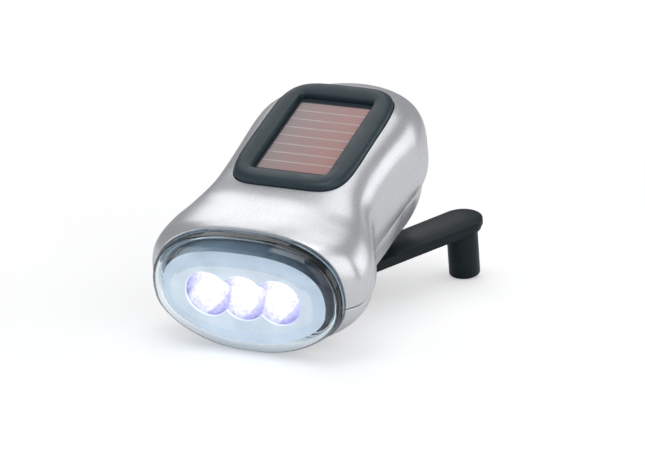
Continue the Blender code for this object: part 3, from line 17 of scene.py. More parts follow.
import bmesh
import bpy
import numpy as np
from mathutils import Matrix, Vector


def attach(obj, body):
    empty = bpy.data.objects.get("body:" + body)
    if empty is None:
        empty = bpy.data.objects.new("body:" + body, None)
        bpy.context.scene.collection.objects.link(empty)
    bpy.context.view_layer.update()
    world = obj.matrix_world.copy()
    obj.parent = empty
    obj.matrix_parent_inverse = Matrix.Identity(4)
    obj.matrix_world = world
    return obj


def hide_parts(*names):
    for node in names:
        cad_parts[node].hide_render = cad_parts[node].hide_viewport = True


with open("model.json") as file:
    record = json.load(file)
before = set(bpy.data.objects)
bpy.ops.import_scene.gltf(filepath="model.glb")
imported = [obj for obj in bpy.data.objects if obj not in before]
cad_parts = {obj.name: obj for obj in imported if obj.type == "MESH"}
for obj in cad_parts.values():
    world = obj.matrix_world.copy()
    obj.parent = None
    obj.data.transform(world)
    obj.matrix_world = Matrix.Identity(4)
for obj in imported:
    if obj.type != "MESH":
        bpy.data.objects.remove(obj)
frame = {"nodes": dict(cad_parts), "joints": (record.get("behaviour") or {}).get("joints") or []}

log = logging.getLogger("torch")

Point = tuple[float, float, float]
Ring = list[Point]
Colour = tuple[float, float, float]

IMAGE_WIDTH = 645
SENSOR_WIDTH = 36.0
# Name of the point attribute for how much a surface glows: the lamps' own light, and painted light on
# the reflector.
GLOW = "glow"
MERGE_DISTANCE = 0.000002
NODE_SMOOTH_DEG = 35.0
HERE = Matrix.Identity(4)
FORWARD = Matrix.Rotation(math.radians(90), 4, "X")


def quarter(steps: int) -> list[float]:
    """Angles in radians from 0 to a right angle, with both ends."""
    return [math.radians(90 * i / steps) for i in range(steps + 1)]


def linked(name: str, data: bpy.types.ID) -> bpy.types.Object:
    """A new object in the scene's collection.

    Args:
        name: the object's name.
        data: its mesh, light or camera.

    Returns:
        The object.
    """
    thing = bpy.data.objects.new(name, data)
    bpy.context.scene.collection.objects.link(thing)
    return thing


def facing(side: Vector, up: Vector) -> Matrix:
    """A rotation whose X and Z point along two unit vectors that are square to each other."""
    return Matrix((side, up.cross(side), up)).transposed().to_4x4()


class Slot(Enum):
    """The record's material slots that the made pieces stand for."""

    SILVER_PAINT = "silver_paint"
    BLACK_PLASTIC = "black_plastic"
    CLEAR_PLASTIC = "clear_plastic"
    MIRROR_COAT = "mirror_coat"
    LED_EPOXY = "led_epoxy"
    CELL_FILM = "cell_film"


class Body(Enum):
    """The frame's bodies that carry the made pieces."""

    HOUSING = "housing"
    CRANK_HUB = "crank_hub"
    ARM = "arm"
    KNOB = "knob"
    SWITCH = "switch"


class Level(Enum):
    """Which stretch of the housing's section a ring belongs to."""

    FLARE = "flare"
    CROWN = "crown"
    FLANK = "flank"


class Operation(Enum):
    """What a Boolean does with its second shape."""

    CUT = "DIFFERENCE"
    JOIN = "UNION"
    KEEP = "INTERSECT"


class NodeBench:
    """Adds and joins the nodes of one tree."""

    def __init__(self, tree: bpy.types.NodeTree) -> None:
        """Start on a tree."""
        self.tree = tree

    def add(self, kind: str, values: Mapping[str | int, object] | None = None,
            **settings: object) -> bpy.types.Node:
        """Add a node.

        Args:
            kind: the node's type name, without its ShaderNode prefix.
            values: what goes into its inputs.
            settings: attributes of the node.

        Returns:
            The new node.
        """
        node = self.tree.nodes.new("ShaderNode" + kind)
        for name, value in settings.items():
            setattr(node, name, value)
        self.fill(node, values or {})
        return node

    def fill(self, node: bpy.types.Node, values: Mapping[str | int, object]) -> None:
        """Set constants on a node's inputs and join outputs to them.

        Args:
            node: the node.
            values: an output or a constant for each input.
        """
        for name, value in values.items():
            if isinstance(value, bpy.types.NodeSocket):
                self.join(value, node.inputs[name])
            else:
                node.inputs[name].default_value = value

    def join(self, start: bpy.types.NodeSocket, end: bpy.types.NodeSocket) -> None:
        """Link an output to an input."""
        self.tree.links.new(start, end)


class ShaderBench(NodeBench):
    """Adds and joins the nodes of one material."""

    def __init__(self, name: str) -> None:
        """Start a material that has one Principled shader.

        Args:
            name: the material's name.
        """
        self.material = bpy.data.materials.new(name)
        self.material.use_nodes = True
        super().__init__(self.material.node_tree)
        self.shader = self.tree.nodes["Principled BSDF"]
        self.output = self.tree.nodes["Material Output"]

    def place(self) -> bpy.types.NodeSocket:
        """The surface's own coordinates, in metres."""
        return self.add("TexCoord").outputs["Object"]

    def noise(self, size: float, detail: float = 2.0, roughness: float = 0.5,
              stretch: Point = (1.0, 1.0, 1.0)) -> bpy.types.NodeSocket:
        """A cloud of values from 0 to 1.

        Args:
            size: about how wide one blot is, in metres.
            detail: octaves.
            roughness: strength of the finer octaves.
            stretch: how much longer a blot is along X, Y and Z.

        Returns:
            The value's output.
        """
        mapping = self.add("Mapping", {"Vector": self.place(), "Scale": tuple(1 / s for s in stretch)})
        node = self.add("TexNoise", {"Vector": mapping.outputs["Vector"], "Scale": 1 / size,
                                     "Detail": detail, "Roughness": roughness})
        return node.outputs["Fac"]

    def grains(self, size: float) -> bpy.types.NodeSocket:
        """Cells with a random value each, for flakes and speckles.

        Args:
            size: a cell's width, in metres.

        Returns:
            The value's output.
        """
        node = self.add("TexVoronoi", {"Vector": self.place(), "Scale": 1 / size})
        return self.add("SeparateColor", {"Color": node.outputs["Color"]}).outputs["Red"]

    def spread(self, value: bpy.types.NodeSocket, low: float, high: float,
               start: float = 0.25, end: float = 0.75) -> bpy.types.NodeSocket:
        """Map a value to a range.

        Args:
            value: what is mapped.
            low: result at start.
            high: result at end.
            start: value that gives low.
            end: value that gives high.

        Returns:
            The mapped output.
        """
        node = self.add("MapRange", {"Value": value, "From Min": start, "From Max": end,
                                     "To Min": low, "To Max": high})
        return node.outputs["Result"]

    def blend(self, value: bpy.types.NodeSocket, first: Colour, second: Colour,
              start: float = 0.3, end: float = 0.7) -> bpy.types.NodeSocket:
        """A colour between two, by a value.

        Args:
            value: 0 to 1.
            first: colour up to start.
            second: colour from end on.
            start: value where the change starts.
            end: value where it ends.

        Returns:
            The colour's output.
        """
        ramp = self.add("ValToRGB", {"Fac": value})
        for stop, place, colour in zip(ramp.color_ramp.elements, (start, end), (first, second)):
            stop.position = place
            stop.color = (*colour, 1.0)
        return ramp.outputs["Color"]

    def paint(self, value: bpy.types.NodeSocket, first: Colour, second: Colour,
              *stops: float) -> None:
        """Give the surface a colour between two, by a value.

        Args:
            value: 0 to 1.
            first: the colour at low values.
            second: the colour at high values.
            stops: values where the change starts and ends.
        """
        self.fill(self.shader, {"Base Color": self.blend(value, first, second, *stops)})

    def bump(self, value: bpy.types.NodeSocket, depth: float) -> None:
        """Raise the surface a little by a value, on top of any bump that is there.

        Args:
            value: 0 to 1.
            depth: height between 0 and 1, in metres.
        """
        node = self.add("Bump", {"Height": value, "Distance": depth, "Strength": 1.0})
        normal = self.shader.inputs["Normal"]
        if normal.is_linked:
            self.join(normal.links[0].from_socket, node.inputs["Normal"])
        self.join(node.outputs["Normal"], normal)


@dataclass(frozen=True)
class Finish:
    """A plain surface with a colour that wanders a little and a fine grain."""

    name: str
    colour: Colour
    roughness: float
    metallic: float = 0.0
    shade: float = 0.88
    blot: float = 0.006
    grain: float = 0.00025
    grain_depth: float = 0.000004
    coat: float = 0.0
    coat_roughness: float = 0.12
    specular: float = 0.5
    duller: float = 0.05
    glossier: float = 0.04

    def material(self) -> bpy.types.Material:
        """The finish's material, made on first use.

        Returns:
            The Blender material.
        """
        found = bpy.data.materials.get(self.name)
        if found is not None:
            return found
        bench = ShaderBench(self.name)
        bench.fill(bench.shader, {"Metallic": self.metallic, "Specular IOR Level": self.specular,
                                  "Coat Weight": self.coat, "Coat Roughness": self.coat_roughness})
        self.dress(bench)
        return bench.material

    def darker(self, share: float) -> Colour:
        """The finish's colour at a share of its lightness."""
        return tuple(channel * share for channel in self.colour)

    def gloss(self, bench: ShaderBench, value: bpy.types.NodeSocket) -> None:
        """Let the gloss wander with a value.

        Args:
            bench: the material's nodes.
            value: 0 where the surface is dull and 1 where it shines.
        """
        low, high = self.roughness + self.duller, self.roughness - self.glossier
        bench.fill(bench.shader, {"Roughness": bench.spread(value, low, high)})

    def dress(self, bench: ShaderBench) -> None:
        """Give the material its colour, gloss and relief.

        Args:
            bench: the material's nodes.
        """
        blots = bench.noise(self.blot, detail=4.0)
        bench.paint(blots, self.darker(self.shade), self.colour)
        self.gloss(bench, blots)
        bench.bump(bench.noise(self.grain, detail=2.0), self.grain_depth)


@dataclass(frozen=True)
class FlakePaint(Finish):
    """Satin paint with fine metal flakes under a thin clear coat."""

    flake: float = 0.00013
    flake_shade: float = 0.86
    flake_shine: float = 1.10
    flake_range: tuple[float, float] = (0.05, 0.95)
    duller: float = 0.03
    glossier: float = 0.03
    wave: float = 0.0022
    wave_depth: float = 0.000005

    def dress(self, bench: ShaderBench) -> None:
        """Lay flakes of unlike brightness, with a soft unevenness over them.

        Args:
            bench: the material's nodes.
        """
        flakes = bench.grains(self.flake)
        bright = tuple(min(channel * self.flake_shine, 1.0) for channel in self.colour)
        bench.paint(flakes, self.darker(self.flake_shade), bright, *self.flake_range)
        self.gloss(bench, bench.noise(self.blot, detail=3.0))
        bench.bump(bench.noise(self.grain, detail=1.0), self.grain_depth)
        bench.bump(bench.noise(self.wave, detail=1.0), self.wave_depth)


@dataclass(frozen=True)
class ClearPlastic(Finish):
    """Clear moulded plastic with a faint tint and a polished face; where an upper tint is given, the
    tint darkens towards the top as painted shade.
    """

    index: float = 1.49
    upper: Colour | None = None
    tint_range: tuple[float, float] = (0.2, 0.6)
    duller: float = 0.004
    glossier: float = 0.0

    def dress(self, bench: ShaderBench) -> None:
        """Let light through, with a hint of flow in the moulding.

        Args:
            bench: the material's nodes.
        """
        shader = bench.shader
        bench.fill(shader, {"Transmission Weight": 1.0, "IOR": self.index})
        # Where upper is set, the tint darkens towards the top of the piece: painted shade.
        split = bench.add("SeparateXYZ", {"Vector": bench.add("TexCoord").outputs["Generated"]})
        bench.paint(split.outputs["Z"], self.colour, self.upper or self.colour, *self.tint_range)
        flow = bench.noise(self.blot, detail=2.0)
        self.gloss(bench, flow)
        bench.bump(flow, self.grain_depth)
        path = bench.add("LightPath")
        through = bench.add("BsdfTransparent", {"Color": (*self.colour, 1.0)})
        rays = {0: path.outputs["Is Shadow Ray"], 1: path.outputs["Is Diffuse Ray"]}
        past = bench.add("Math", rays, operation="MAXIMUM")
        mix = bench.add("MixShader", {"Fac": past.outputs["Value"], 1: shader.outputs["BSDF"],
                                      2: through.outputs["BSDF"]})
        bench.join(mix.outputs["Shader"], bench.output.inputs["Surface"])


@dataclass(frozen=True)
class Glow(Finish):
    """A surface that gives off light by the mesh's glow attribute: the lamps' own light, and painted
    light on the reflector, which is no lamp.
    """

    light: Colour = (0.93, 0.95, 1.0)
    strength: float = 1.6
    flicker: float = 0.3
    duller: float = 0.03
    glossier: float = 0.0

    def dress(self, bench: ShaderBench) -> None:
        """Make the surface shine where its glow is, a little unevenly; on the reflector this shine is
        painted light.

        Args:
            bench: the material's nodes.
        """
        clouds = bench.noise(self.blot, detail=3.0)
        bench.paint(clouds, self.darker(self.shade), self.colour)
        glow = bench.add("Attribute", attribute_name=GLOW).outputs["Fac"]
        strength = bench.spread(clouds, self.strength * (1 - self.flicker),
                                self.strength * (1 + self.flicker))
        power = bench.add("Math", {0: glow, 1: strength}, operation="MULTIPLY")
        bench.fill(bench.shader, {"Emission Color": (*self.light, 1.0),
                                  "Emission Strength": power.outputs["Value"]})
        self.gloss(bench, clouds)
        bench.bump(bench.noise(self.grain, detail=2.0), self.grain_depth)


@dataclass(frozen=True)
class PaintedLightFade(Finish):
    """A mottled surface whose colour fades from one side of the piece to the other: painted light and
    shade across the piece.
    """

    start: Colour = (0.30, 0.24, 0.24)
    along: Point = (1.0, 0.0, 0.0)
    mottle: float = 0.35
    fade_range: tuple[float, float] = (0.1, 1.0)
    duller: float = 0.05
    glossier: float = 0.0

    def dress(self, bench: ShaderBench) -> None:
        """Fade the colour across the piece as painted light and shade, and mottle it.

        Args:
            bench: the material's nodes.
        """
        across = bench.add("VectorMath", {0: bench.add("TexCoord").outputs["Generated"], 1: self.along},
                           operation="DOT_PRODUCT")
        clouds = bench.noise(self.blot, detail=5.0, roughness=0.6)
        mix = bench.add("Math", {0: clouds, 1: self.mottle, 2: across.outputs["Value"]},
                        operation="MULTIPLY_ADD")
        bench.paint(mix.outputs["Value"], self.start, self.colour, *self.fade_range)
        self.gloss(bench, clouds)
        bench.bump(bench.noise(self.grain, detail=2.0), self.grain_depth)


@dataclass(frozen=True)
class BrushedMetal(Finish):
    """Metal with fine lines along one direction."""

    lines: Point = (1.0, 14.0, 1.0)
    duller: float = 0.08
    glossier: float = 0.05

    def dress(self, bench: ShaderBench) -> None:
        """Draw lines in the colour, the gloss and the relief.

        Args:
            bench: the material's nodes.
        """
        strokes = bench.noise(self.grain, detail=3.0, roughness=0.6, stretch=self.lines)
        bench.paint(strokes, self.darker(self.shade), self.colour)
        self.gloss(bench, strokes)
        bench.bump(strokes, self.grain_depth)


@dataclass(frozen=True)
class WoundWire(Finish):
    """Turns of enamelled wire laid side by side."""

    pitch: float = 0.0002
    bands_per_unit: float = 20.0
    waver: float = 0.4

    def dress(self, bench: ShaderBench) -> None:
        """Draw the turns as bands along Z.

        Args:
            bench: the material's nodes.
        """
        turns = bench.add("TexWave", {"Vector": bench.place(), "Distortion": self.waver,
                                      "Scale": 1 / (self.pitch * self.bands_per_unit)},
                          bands_direction="Z")
        bench.paint(turns.outputs["Fac"], self.darker(self.shade), self.colour)
        bench.fill(bench.shader, {"Roughness": self.roughness})
        bench.bump(turns.outputs["Fac"], self.grain_depth)


@dataclass(frozen=True)
class TrackedBoard(Finish):
    """Circuit board with copper tracks under the green mask."""

    track: Colour = (0.10, 0.36, 0.16)
    cell: float = 0.0016
    track_edge: tuple[float, float] = (0.08, 0.14)

    def dress(self, bench: ShaderBench) -> None:
        """Lay lighter tracks with square corners over the board.

        Args:
            bench: the material's nodes.
        """
        node = bench.add("TexVoronoi", {"Vector": bench.place(), "Scale": 1 / self.cell},
                         distance="CHEBYCHEV", feature="DISTANCE_TO_EDGE")
        middle = node.outputs["Distance"]
        bench.paint(middle, self.track, self.colour, *self.track_edge)
        bench.fill(bench.shader, {"Roughness": self.roughness})
        bench.bump(bench.spread(middle, 1.0, 0.0, *self.track_edge), self.grain_depth)


SILVER = FlakePaint("satin_silver_paint", (0.84, 0.845, 0.875), 0.34, metallic=0.88,
                    blot=0.012, grain_depth=0.0000014, coat=0.15)
BLACK = Finish("satin_black_plastic", (0.020, 0.044, 0.058), 0.38, shade=0.85,
               blot=0.004, grain=0.00022, grain_depth=0.000006)
# A darker copy of the satin black plastic, in the same slot, for the crank's arm, knob and yoke.
CRANK_BLACK = Finish("crank_black_plastic", (0.007, 0.017, 0.021), 0.36, shade=0.85,
                     blot=0.004, grain=0.00022, grain_depth=0.000006, specular=0.28)
GLOSS_BLACK = Finish("polished_black_plastic", (0.018, 0.024, 0.030), 0.22, shade=0.8, blot=0.003)
CLEAR = ClearPlastic("clear_moulding", (0.93, 0.965, 0.99), 0.004, blot=0.012,
                     grain_depth=0.000004)
# The cap's side band has a tint that darkens towards the top: painted shade of the dark band seen
# through it.
CLEAR_SIDE_PAINTED_SHADE = ClearPlastic("clear_moulding_painted_shade_side", (0.84, 0.92, 0.98), 0.004, blot=0.012,
                          grain_depth=0.000004, upper=(0.66, 0.76, 0.84))
# The cup mirror glows by its glow attribute: painted light of the lamps in the cups, with painted shade
# towards each cup's right; its violet colour and violet glow give that shade its violet tone.
MIRROR = Glow("cup_mirror_painted_glow", (0.27, 0.26, 0.46), 0.10, metallic=1.0, shade=0.60, blot=0.0012,
              grain=0.0010, grain_depth=0.000005, light=(0.70, 0.68, 0.96), strength=1.35)
# The reflector's pale face glows a little by its glow attribute: painted light, as the face is no lamp.
REFLECTOR_FACE_PAINTED_GLOW = Glow("reflector_face_painted_glow", (0.80, 0.85, 0.90), 0.30, metallic=0.25, shade=0.96,
                      blot=0.006, grain_depth=0.000002, light=(0.90, 0.95, 1.0), strength=0.75)
# The reflector's sides fade from pale at the left and bottom to near black at the upper right: painted
# shade inside the nose and a painted dark reflection.
REFLECTOR_SIDE_PAINTED_SHADE = PaintedLightFade("reflector_side_painted_shade", (0.020, 0.035, 0.060), 0.30, shade=0.8,
                              start=(0.78, 0.86, 0.93), along=(0.78, 0.0, 0.12))
LAMP_GLOW = Glow("lamp_glow", (0.70, 0.72, 0.94), 0.05, blot=0.0012, strength=2.0)
# The film fades from a darker brown at the left to a lighter red at the right: painted light across the
# film.
FILM = PaintedLightFade("solar_film", (0.47, 0.235, 0.215), 0.22, blot=0.0012, grain=0.0002,
                    grain_depth=0.000002, coat=0.5)
FILM_LINE = Finish("solar_film_line", (0.60, 0.52, 0.52), 0.35, metallic=0.3, blot=0.0008)
CELL_MARGIN = Finish("solar_cell_margin", (0.045, 0.058, 0.075), 0.25, shade=0.8, coat=0.4)
STEEL = BrushedMetal("zinc_plated_steel", (0.60, 0.61, 0.63), 0.28, metallic=1.0, grain=0.0002)
SCREW_STEEL = BrushedMetal("screw_steel", (0.50, 0.50, 0.52), 0.30, metallic=1.0, grain=0.00015,
                           lines=(1.0, 1.0, 1.0))
CELL_STEEL = BrushedMetal("nickel_plated_can", (0.66, 0.66, 0.66), 0.20, metallic=1.0)
BRASS = BrushedMetal("turned_brass", (0.70, 0.50, 0.22), 0.28, metallic=1.0)
COPPER = WoundWire("enamelled_copper", (0.60, 0.24, 0.10), 0.30, metallic=0.8, shade=0.5,
                   grain_depth=0.00004)
NATURAL = Finish("natural_plastic", (0.74, 0.73, 0.68), 0.42, shade=0.94)
BOARD = TrackedBoard("green_board", (0.015, 0.11, 0.04), 0.35, grain_depth=0.00002)
FOAM = Finish("black_foam", (0.02, 0.02, 0.022), 0.95, grain=0.0005, grain_depth=0.00012)
FERRITE = Finish("ferrite", (0.05, 0.05, 0.055), 0.55, metallic=0.3)
CAN_SLEEVE = Finish("capacitor_sleeve", (0.03, 0.04, 0.10), 0.30, coat=0.3)


class MeshWork:
    """Makes meshes from rings, profiles, outlines and Booleans."""

    @staticmethod
    def from_faces(name: str, vertices: Sequence[Point], faces: Sequence[Sequence[int]],
                   merge: float = 0.0) -> bpy.types.Mesh:
        """A mesh with its faces turned outwards.

        Args:
            name: the mesh's name.
            vertices: its points.
            faces: each face's points.
            merge: points closer than this become one.

        Returns:
            The mesh.
        """
        mesh = bpy.data.meshes.new(name)
        mesh.from_pydata([tuple(v) for v in vertices], [], [tuple(f) for f in faces])
        work = bmesh.new()
        work.from_mesh(mesh)
        if merge:
            bmesh.ops.remove_doubles(work, verts=work.verts, dist=merge)
        bmesh.ops.recalc_face_normals(work, faces=work.faces)
        work.to_mesh(mesh)
        work.free()
        return mesh

    @staticmethod
    def skin(rings: Sequence[Ring], closed: bool) -> list[tuple[int, ...]]:
        """The faces between rings of equal counts.

        Args:
            rings: the rings, in order.
            closed: join the last ring to the first.

        Returns:
            Each face's points.
        """
        count = len(rings[0])
        pairs = [(k, k + 1) for k in range(len(rings) - 1)]
        if closed:
            pairs.append((len(rings) - 1, 0))
        return [(low * count + i, low * count + (i + 1) % count,
                 high * count + (i + 1) % count, high * count + i)
                for low, high in pairs for i in range(count)]

    @staticmethod
    def lofted(name: str, rings: Sequence[Ring], closed: bool = False) -> bpy.types.Mesh:
        """A closed skin over rings of equal counts.

        Args:
            name: the mesh's name.
            rings: the rings, in order.
            closed: join the last ring to the first, and otherwise cap both ends.

        Returns:
            The mesh.
        """
        count = len(rings[0])
        faces = MeshWork.skin(rings, closed)
        if not closed:
            faces.append(tuple(range(count)))
            faces.append(tuple(range((len(rings) - 1) * count, len(rings) * count)))
        return MeshWork.from_faces(name, [point for ring in rings for point in ring], faces)

    @staticmethod
    def turned(name: str, profile: Sequence[tuple[float, float]], steps: int,
               ring: bool = False) -> bpy.types.Mesh:
        """A turned solid about Z.

        Args:
            name: the mesh's name.
            profile: radius and height of each point, from end to end.
            steps: facets round it.
            ring: the profile closes on itself, and otherwise it ends on the axis.

        Returns:
            The mesh.
        """
        angles = [2 * math.pi * i / steps for i in range(steps)]
        rings = [[(r * math.cos(a), r * math.sin(a), z) for a in angles] for r, z in profile]
        return MeshWork.from_faces(name, [point for loop in rings for point in loop],
                                   MeshWork.skin(rings, ring), MERGE_DISTANCE)

    @staticmethod
    def drum(name: str, radius: float, low: float, high: float, steps: int) -> bpy.types.Mesh:
        """A plain cylinder about Z.

        Args:
            name: the mesh's name.
            radius: its radius.
            low: height of its lower end.
            high: height of its upper end.
            steps: facets round it.

        Returns:
            The mesh.
        """
        return MeshWork.turned(name, [(0, low), (radius, low), (radius, high), (0, high)], steps)

    @staticmethod
    def block(name: str, low: Sequence[float], high: Sequence[float]) -> bpy.types.Mesh:
        """A box.

        Args:
            name: the mesh's name.
            low: its lowest corner.
            high: its highest corner.

        Returns:
            The mesh.
        """
        size = Vector(high) - Vector(low)
        middle = (Vector(high) + Vector(low)) / 2
        work = bmesh.new()
        bmesh.ops.create_cube(work, size=1.0, matrix=Matrix.LocRotScale(middle, None, size))
        mesh = bpy.data.meshes.new(name)
        work.to_mesh(mesh)
        work.free()
        return mesh

    @staticmethod
    def merged(name: str, meshes: Iterable[bpy.types.Mesh]) -> bpy.types.Mesh:
        """Several loose meshes as one.

        Args:
            name: the new mesh's name.
            meshes: what goes in; they are removed.

        Returns:
            The mesh.
        """
        work = bmesh.new()
        for part in meshes:
            work.from_mesh(part)
            bpy.data.meshes.remove(part)
        mesh = bpy.data.meshes.new(name)
        work.to_mesh(mesh)
        work.free()
        return mesh

    @staticmethod
    def holder(mesh: bpy.types.Mesh) -> bpy.types.Object:
        """A working object for a mesh, which modifiers can be set on."""
        return linked(mesh.name + "_work", mesh)

    @staticmethod
    def settled(holder: bpy.types.Object) -> bpy.types.Mesh:
        """What a working object's modifiers make of its mesh.

        Args:
            holder: the working object, which is removed with its mesh.

        Returns:
            The new mesh, under the old one's name.
        """
        bpy.context.view_layer.update()
        graph = bpy.context.evaluated_depsgraph_get()
        result = bpy.data.meshes.new_from_object(holder.evaluated_get(graph))
        old = holder.data
        name = old.name
        bpy.data.objects.remove(holder)
        bpy.data.meshes.remove(old)
        result.name = name
        return result

    @staticmethod
    def combined(base: bpy.types.Mesh,
                 steps: Sequence[tuple[bpy.types.Mesh, Matrix, Operation]]) -> bpy.types.Mesh:
        """A mesh after a row of Booleans.

        Args:
            base: the mesh that is cut or joined to.
            steps: each other mesh, where it stands, and what is done with it.

        Returns:
            The result, under the base's name.
        """
        holder = MeshWork.holder(base)
        others = []
        for mesh, place, operation in steps:
            other = MeshWork.holder(mesh)
            other.matrix_world = place
            others.append(other)
            modifier = holder.modifiers.new(mesh.name, "BOOLEAN")
            modifier.operation = operation.value
            modifier.solver = "EXACT"
            modifier.object = other
        result = MeshWork.settled(holder)
        for other in others:
            mesh = other.data
            bpy.data.objects.remove(other)
            bpy.data.meshes.remove(mesh)
        result.materials.clear()
        return result

    @staticmethod
    def bevelled(mesh: bpy.types.Mesh, width: float, segments: int = 3,
                 angle_deg: float = 40.0) -> bpy.types.Mesh:
        """A mesh with its sharp edges rounded.

        Args:
            mesh: the mesh, which is replaced.
            width: how far the rounding reaches from the edge.
            segments: facets across it.
            angle_deg: edges sharper than this are rounded.

        Returns:
            The rounded mesh.
        """
        holder = MeshWork.holder(mesh)
        modifier = holder.modifiers.new("edges", "BEVEL")
        modifier.width = width
        modifier.segments = segments
        modifier.limit_method = "ANGLE"
        modifier.angle_limit = math.radians(angle_deg)
        modifier.use_clamp_overlap = True
        modifier.miter_outer = "MITER_ARC"
        return MeshWork.settled(holder)


@dataclass
class Assembly:
    """A group of pieces that are made and dressed together."""

    layout: Matrix
    made: list[str] = field(default_factory=list)

    def add(self, name: str, mesh: bpy.types.Mesh, finish: Finish, slot: Slot, body: Body,
            place: Matrix | None = None, replaces: Sequence[str] = (),
            smooth_deg: float = 32.0) -> bpy.types.Object:
        """Set a piece in the scene on the body that carries it.

        Args:
            name: the piece's name.
            mesh: its mesh.
            finish: its look.
            slot: the record's slot that it stands for; not used.
            body: the body that it moves with.
            place: where it stands; the torch's layout if left out.
            replaces: the nodes that it stands for.
            smooth_deg: edges under this angle are shaded smooth.

        Returns:
            The object.
        """
        mesh.name = name
        mesh.transform(self.layout if place is None else place)
        mesh.materials.clear()
        mesh.materials.append(finish.material())
        mesh.shade_smooth()
        mesh.set_sharp_from_angle(angle=math.radians(smooth_deg))
        piece = linked(name, mesh)
        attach(piece, body.value)
        if replaces:
            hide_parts(*replaces)
        self.made.append(name)
        return piece

    def dress(self, finish: Finish, *nodes: str) -> None:
        """Give the frame's own nodes a finish.

        Args:
            finish: the look.
            nodes: the nodes' names.
        """
        for name in nodes:
            node = frame["nodes"][name]
            node.data.materials.clear()
            node.data.materials.append(finish.material())
            node.data.shade_smooth()
            node.data.set_sharp_from_angle(angle=math.radians(NODE_SMOOTH_DEG))
            self.made.append(name)

    def at(self, x: float, y: float, z: float, turn: Matrix | None = None) -> Matrix:
        """A place in the torch's layout.

        Args:
            x: to the side.
            y: towards the tail.
            z: up from the underside.
            turn: a rotation there.

        Returns:
            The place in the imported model's space.
        """
        return self.layout @ Matrix.Translation((x, y, z)) @ (turn or HERE)


@dataclass(frozen=True)
class Section:
    """Half widths and heights of the housing at one place along its length."""

    belly: float
    parting: float
    flat: float
    belly_z: float
    top_z: float
    power: float
    base_z: float


@dataclass(frozen=True)
class RingPoint:
    """One ring's place up a section, and what its tail follows."""

    width: float
    height: float
    level: Level
    share: float
    inset: float = 0.0


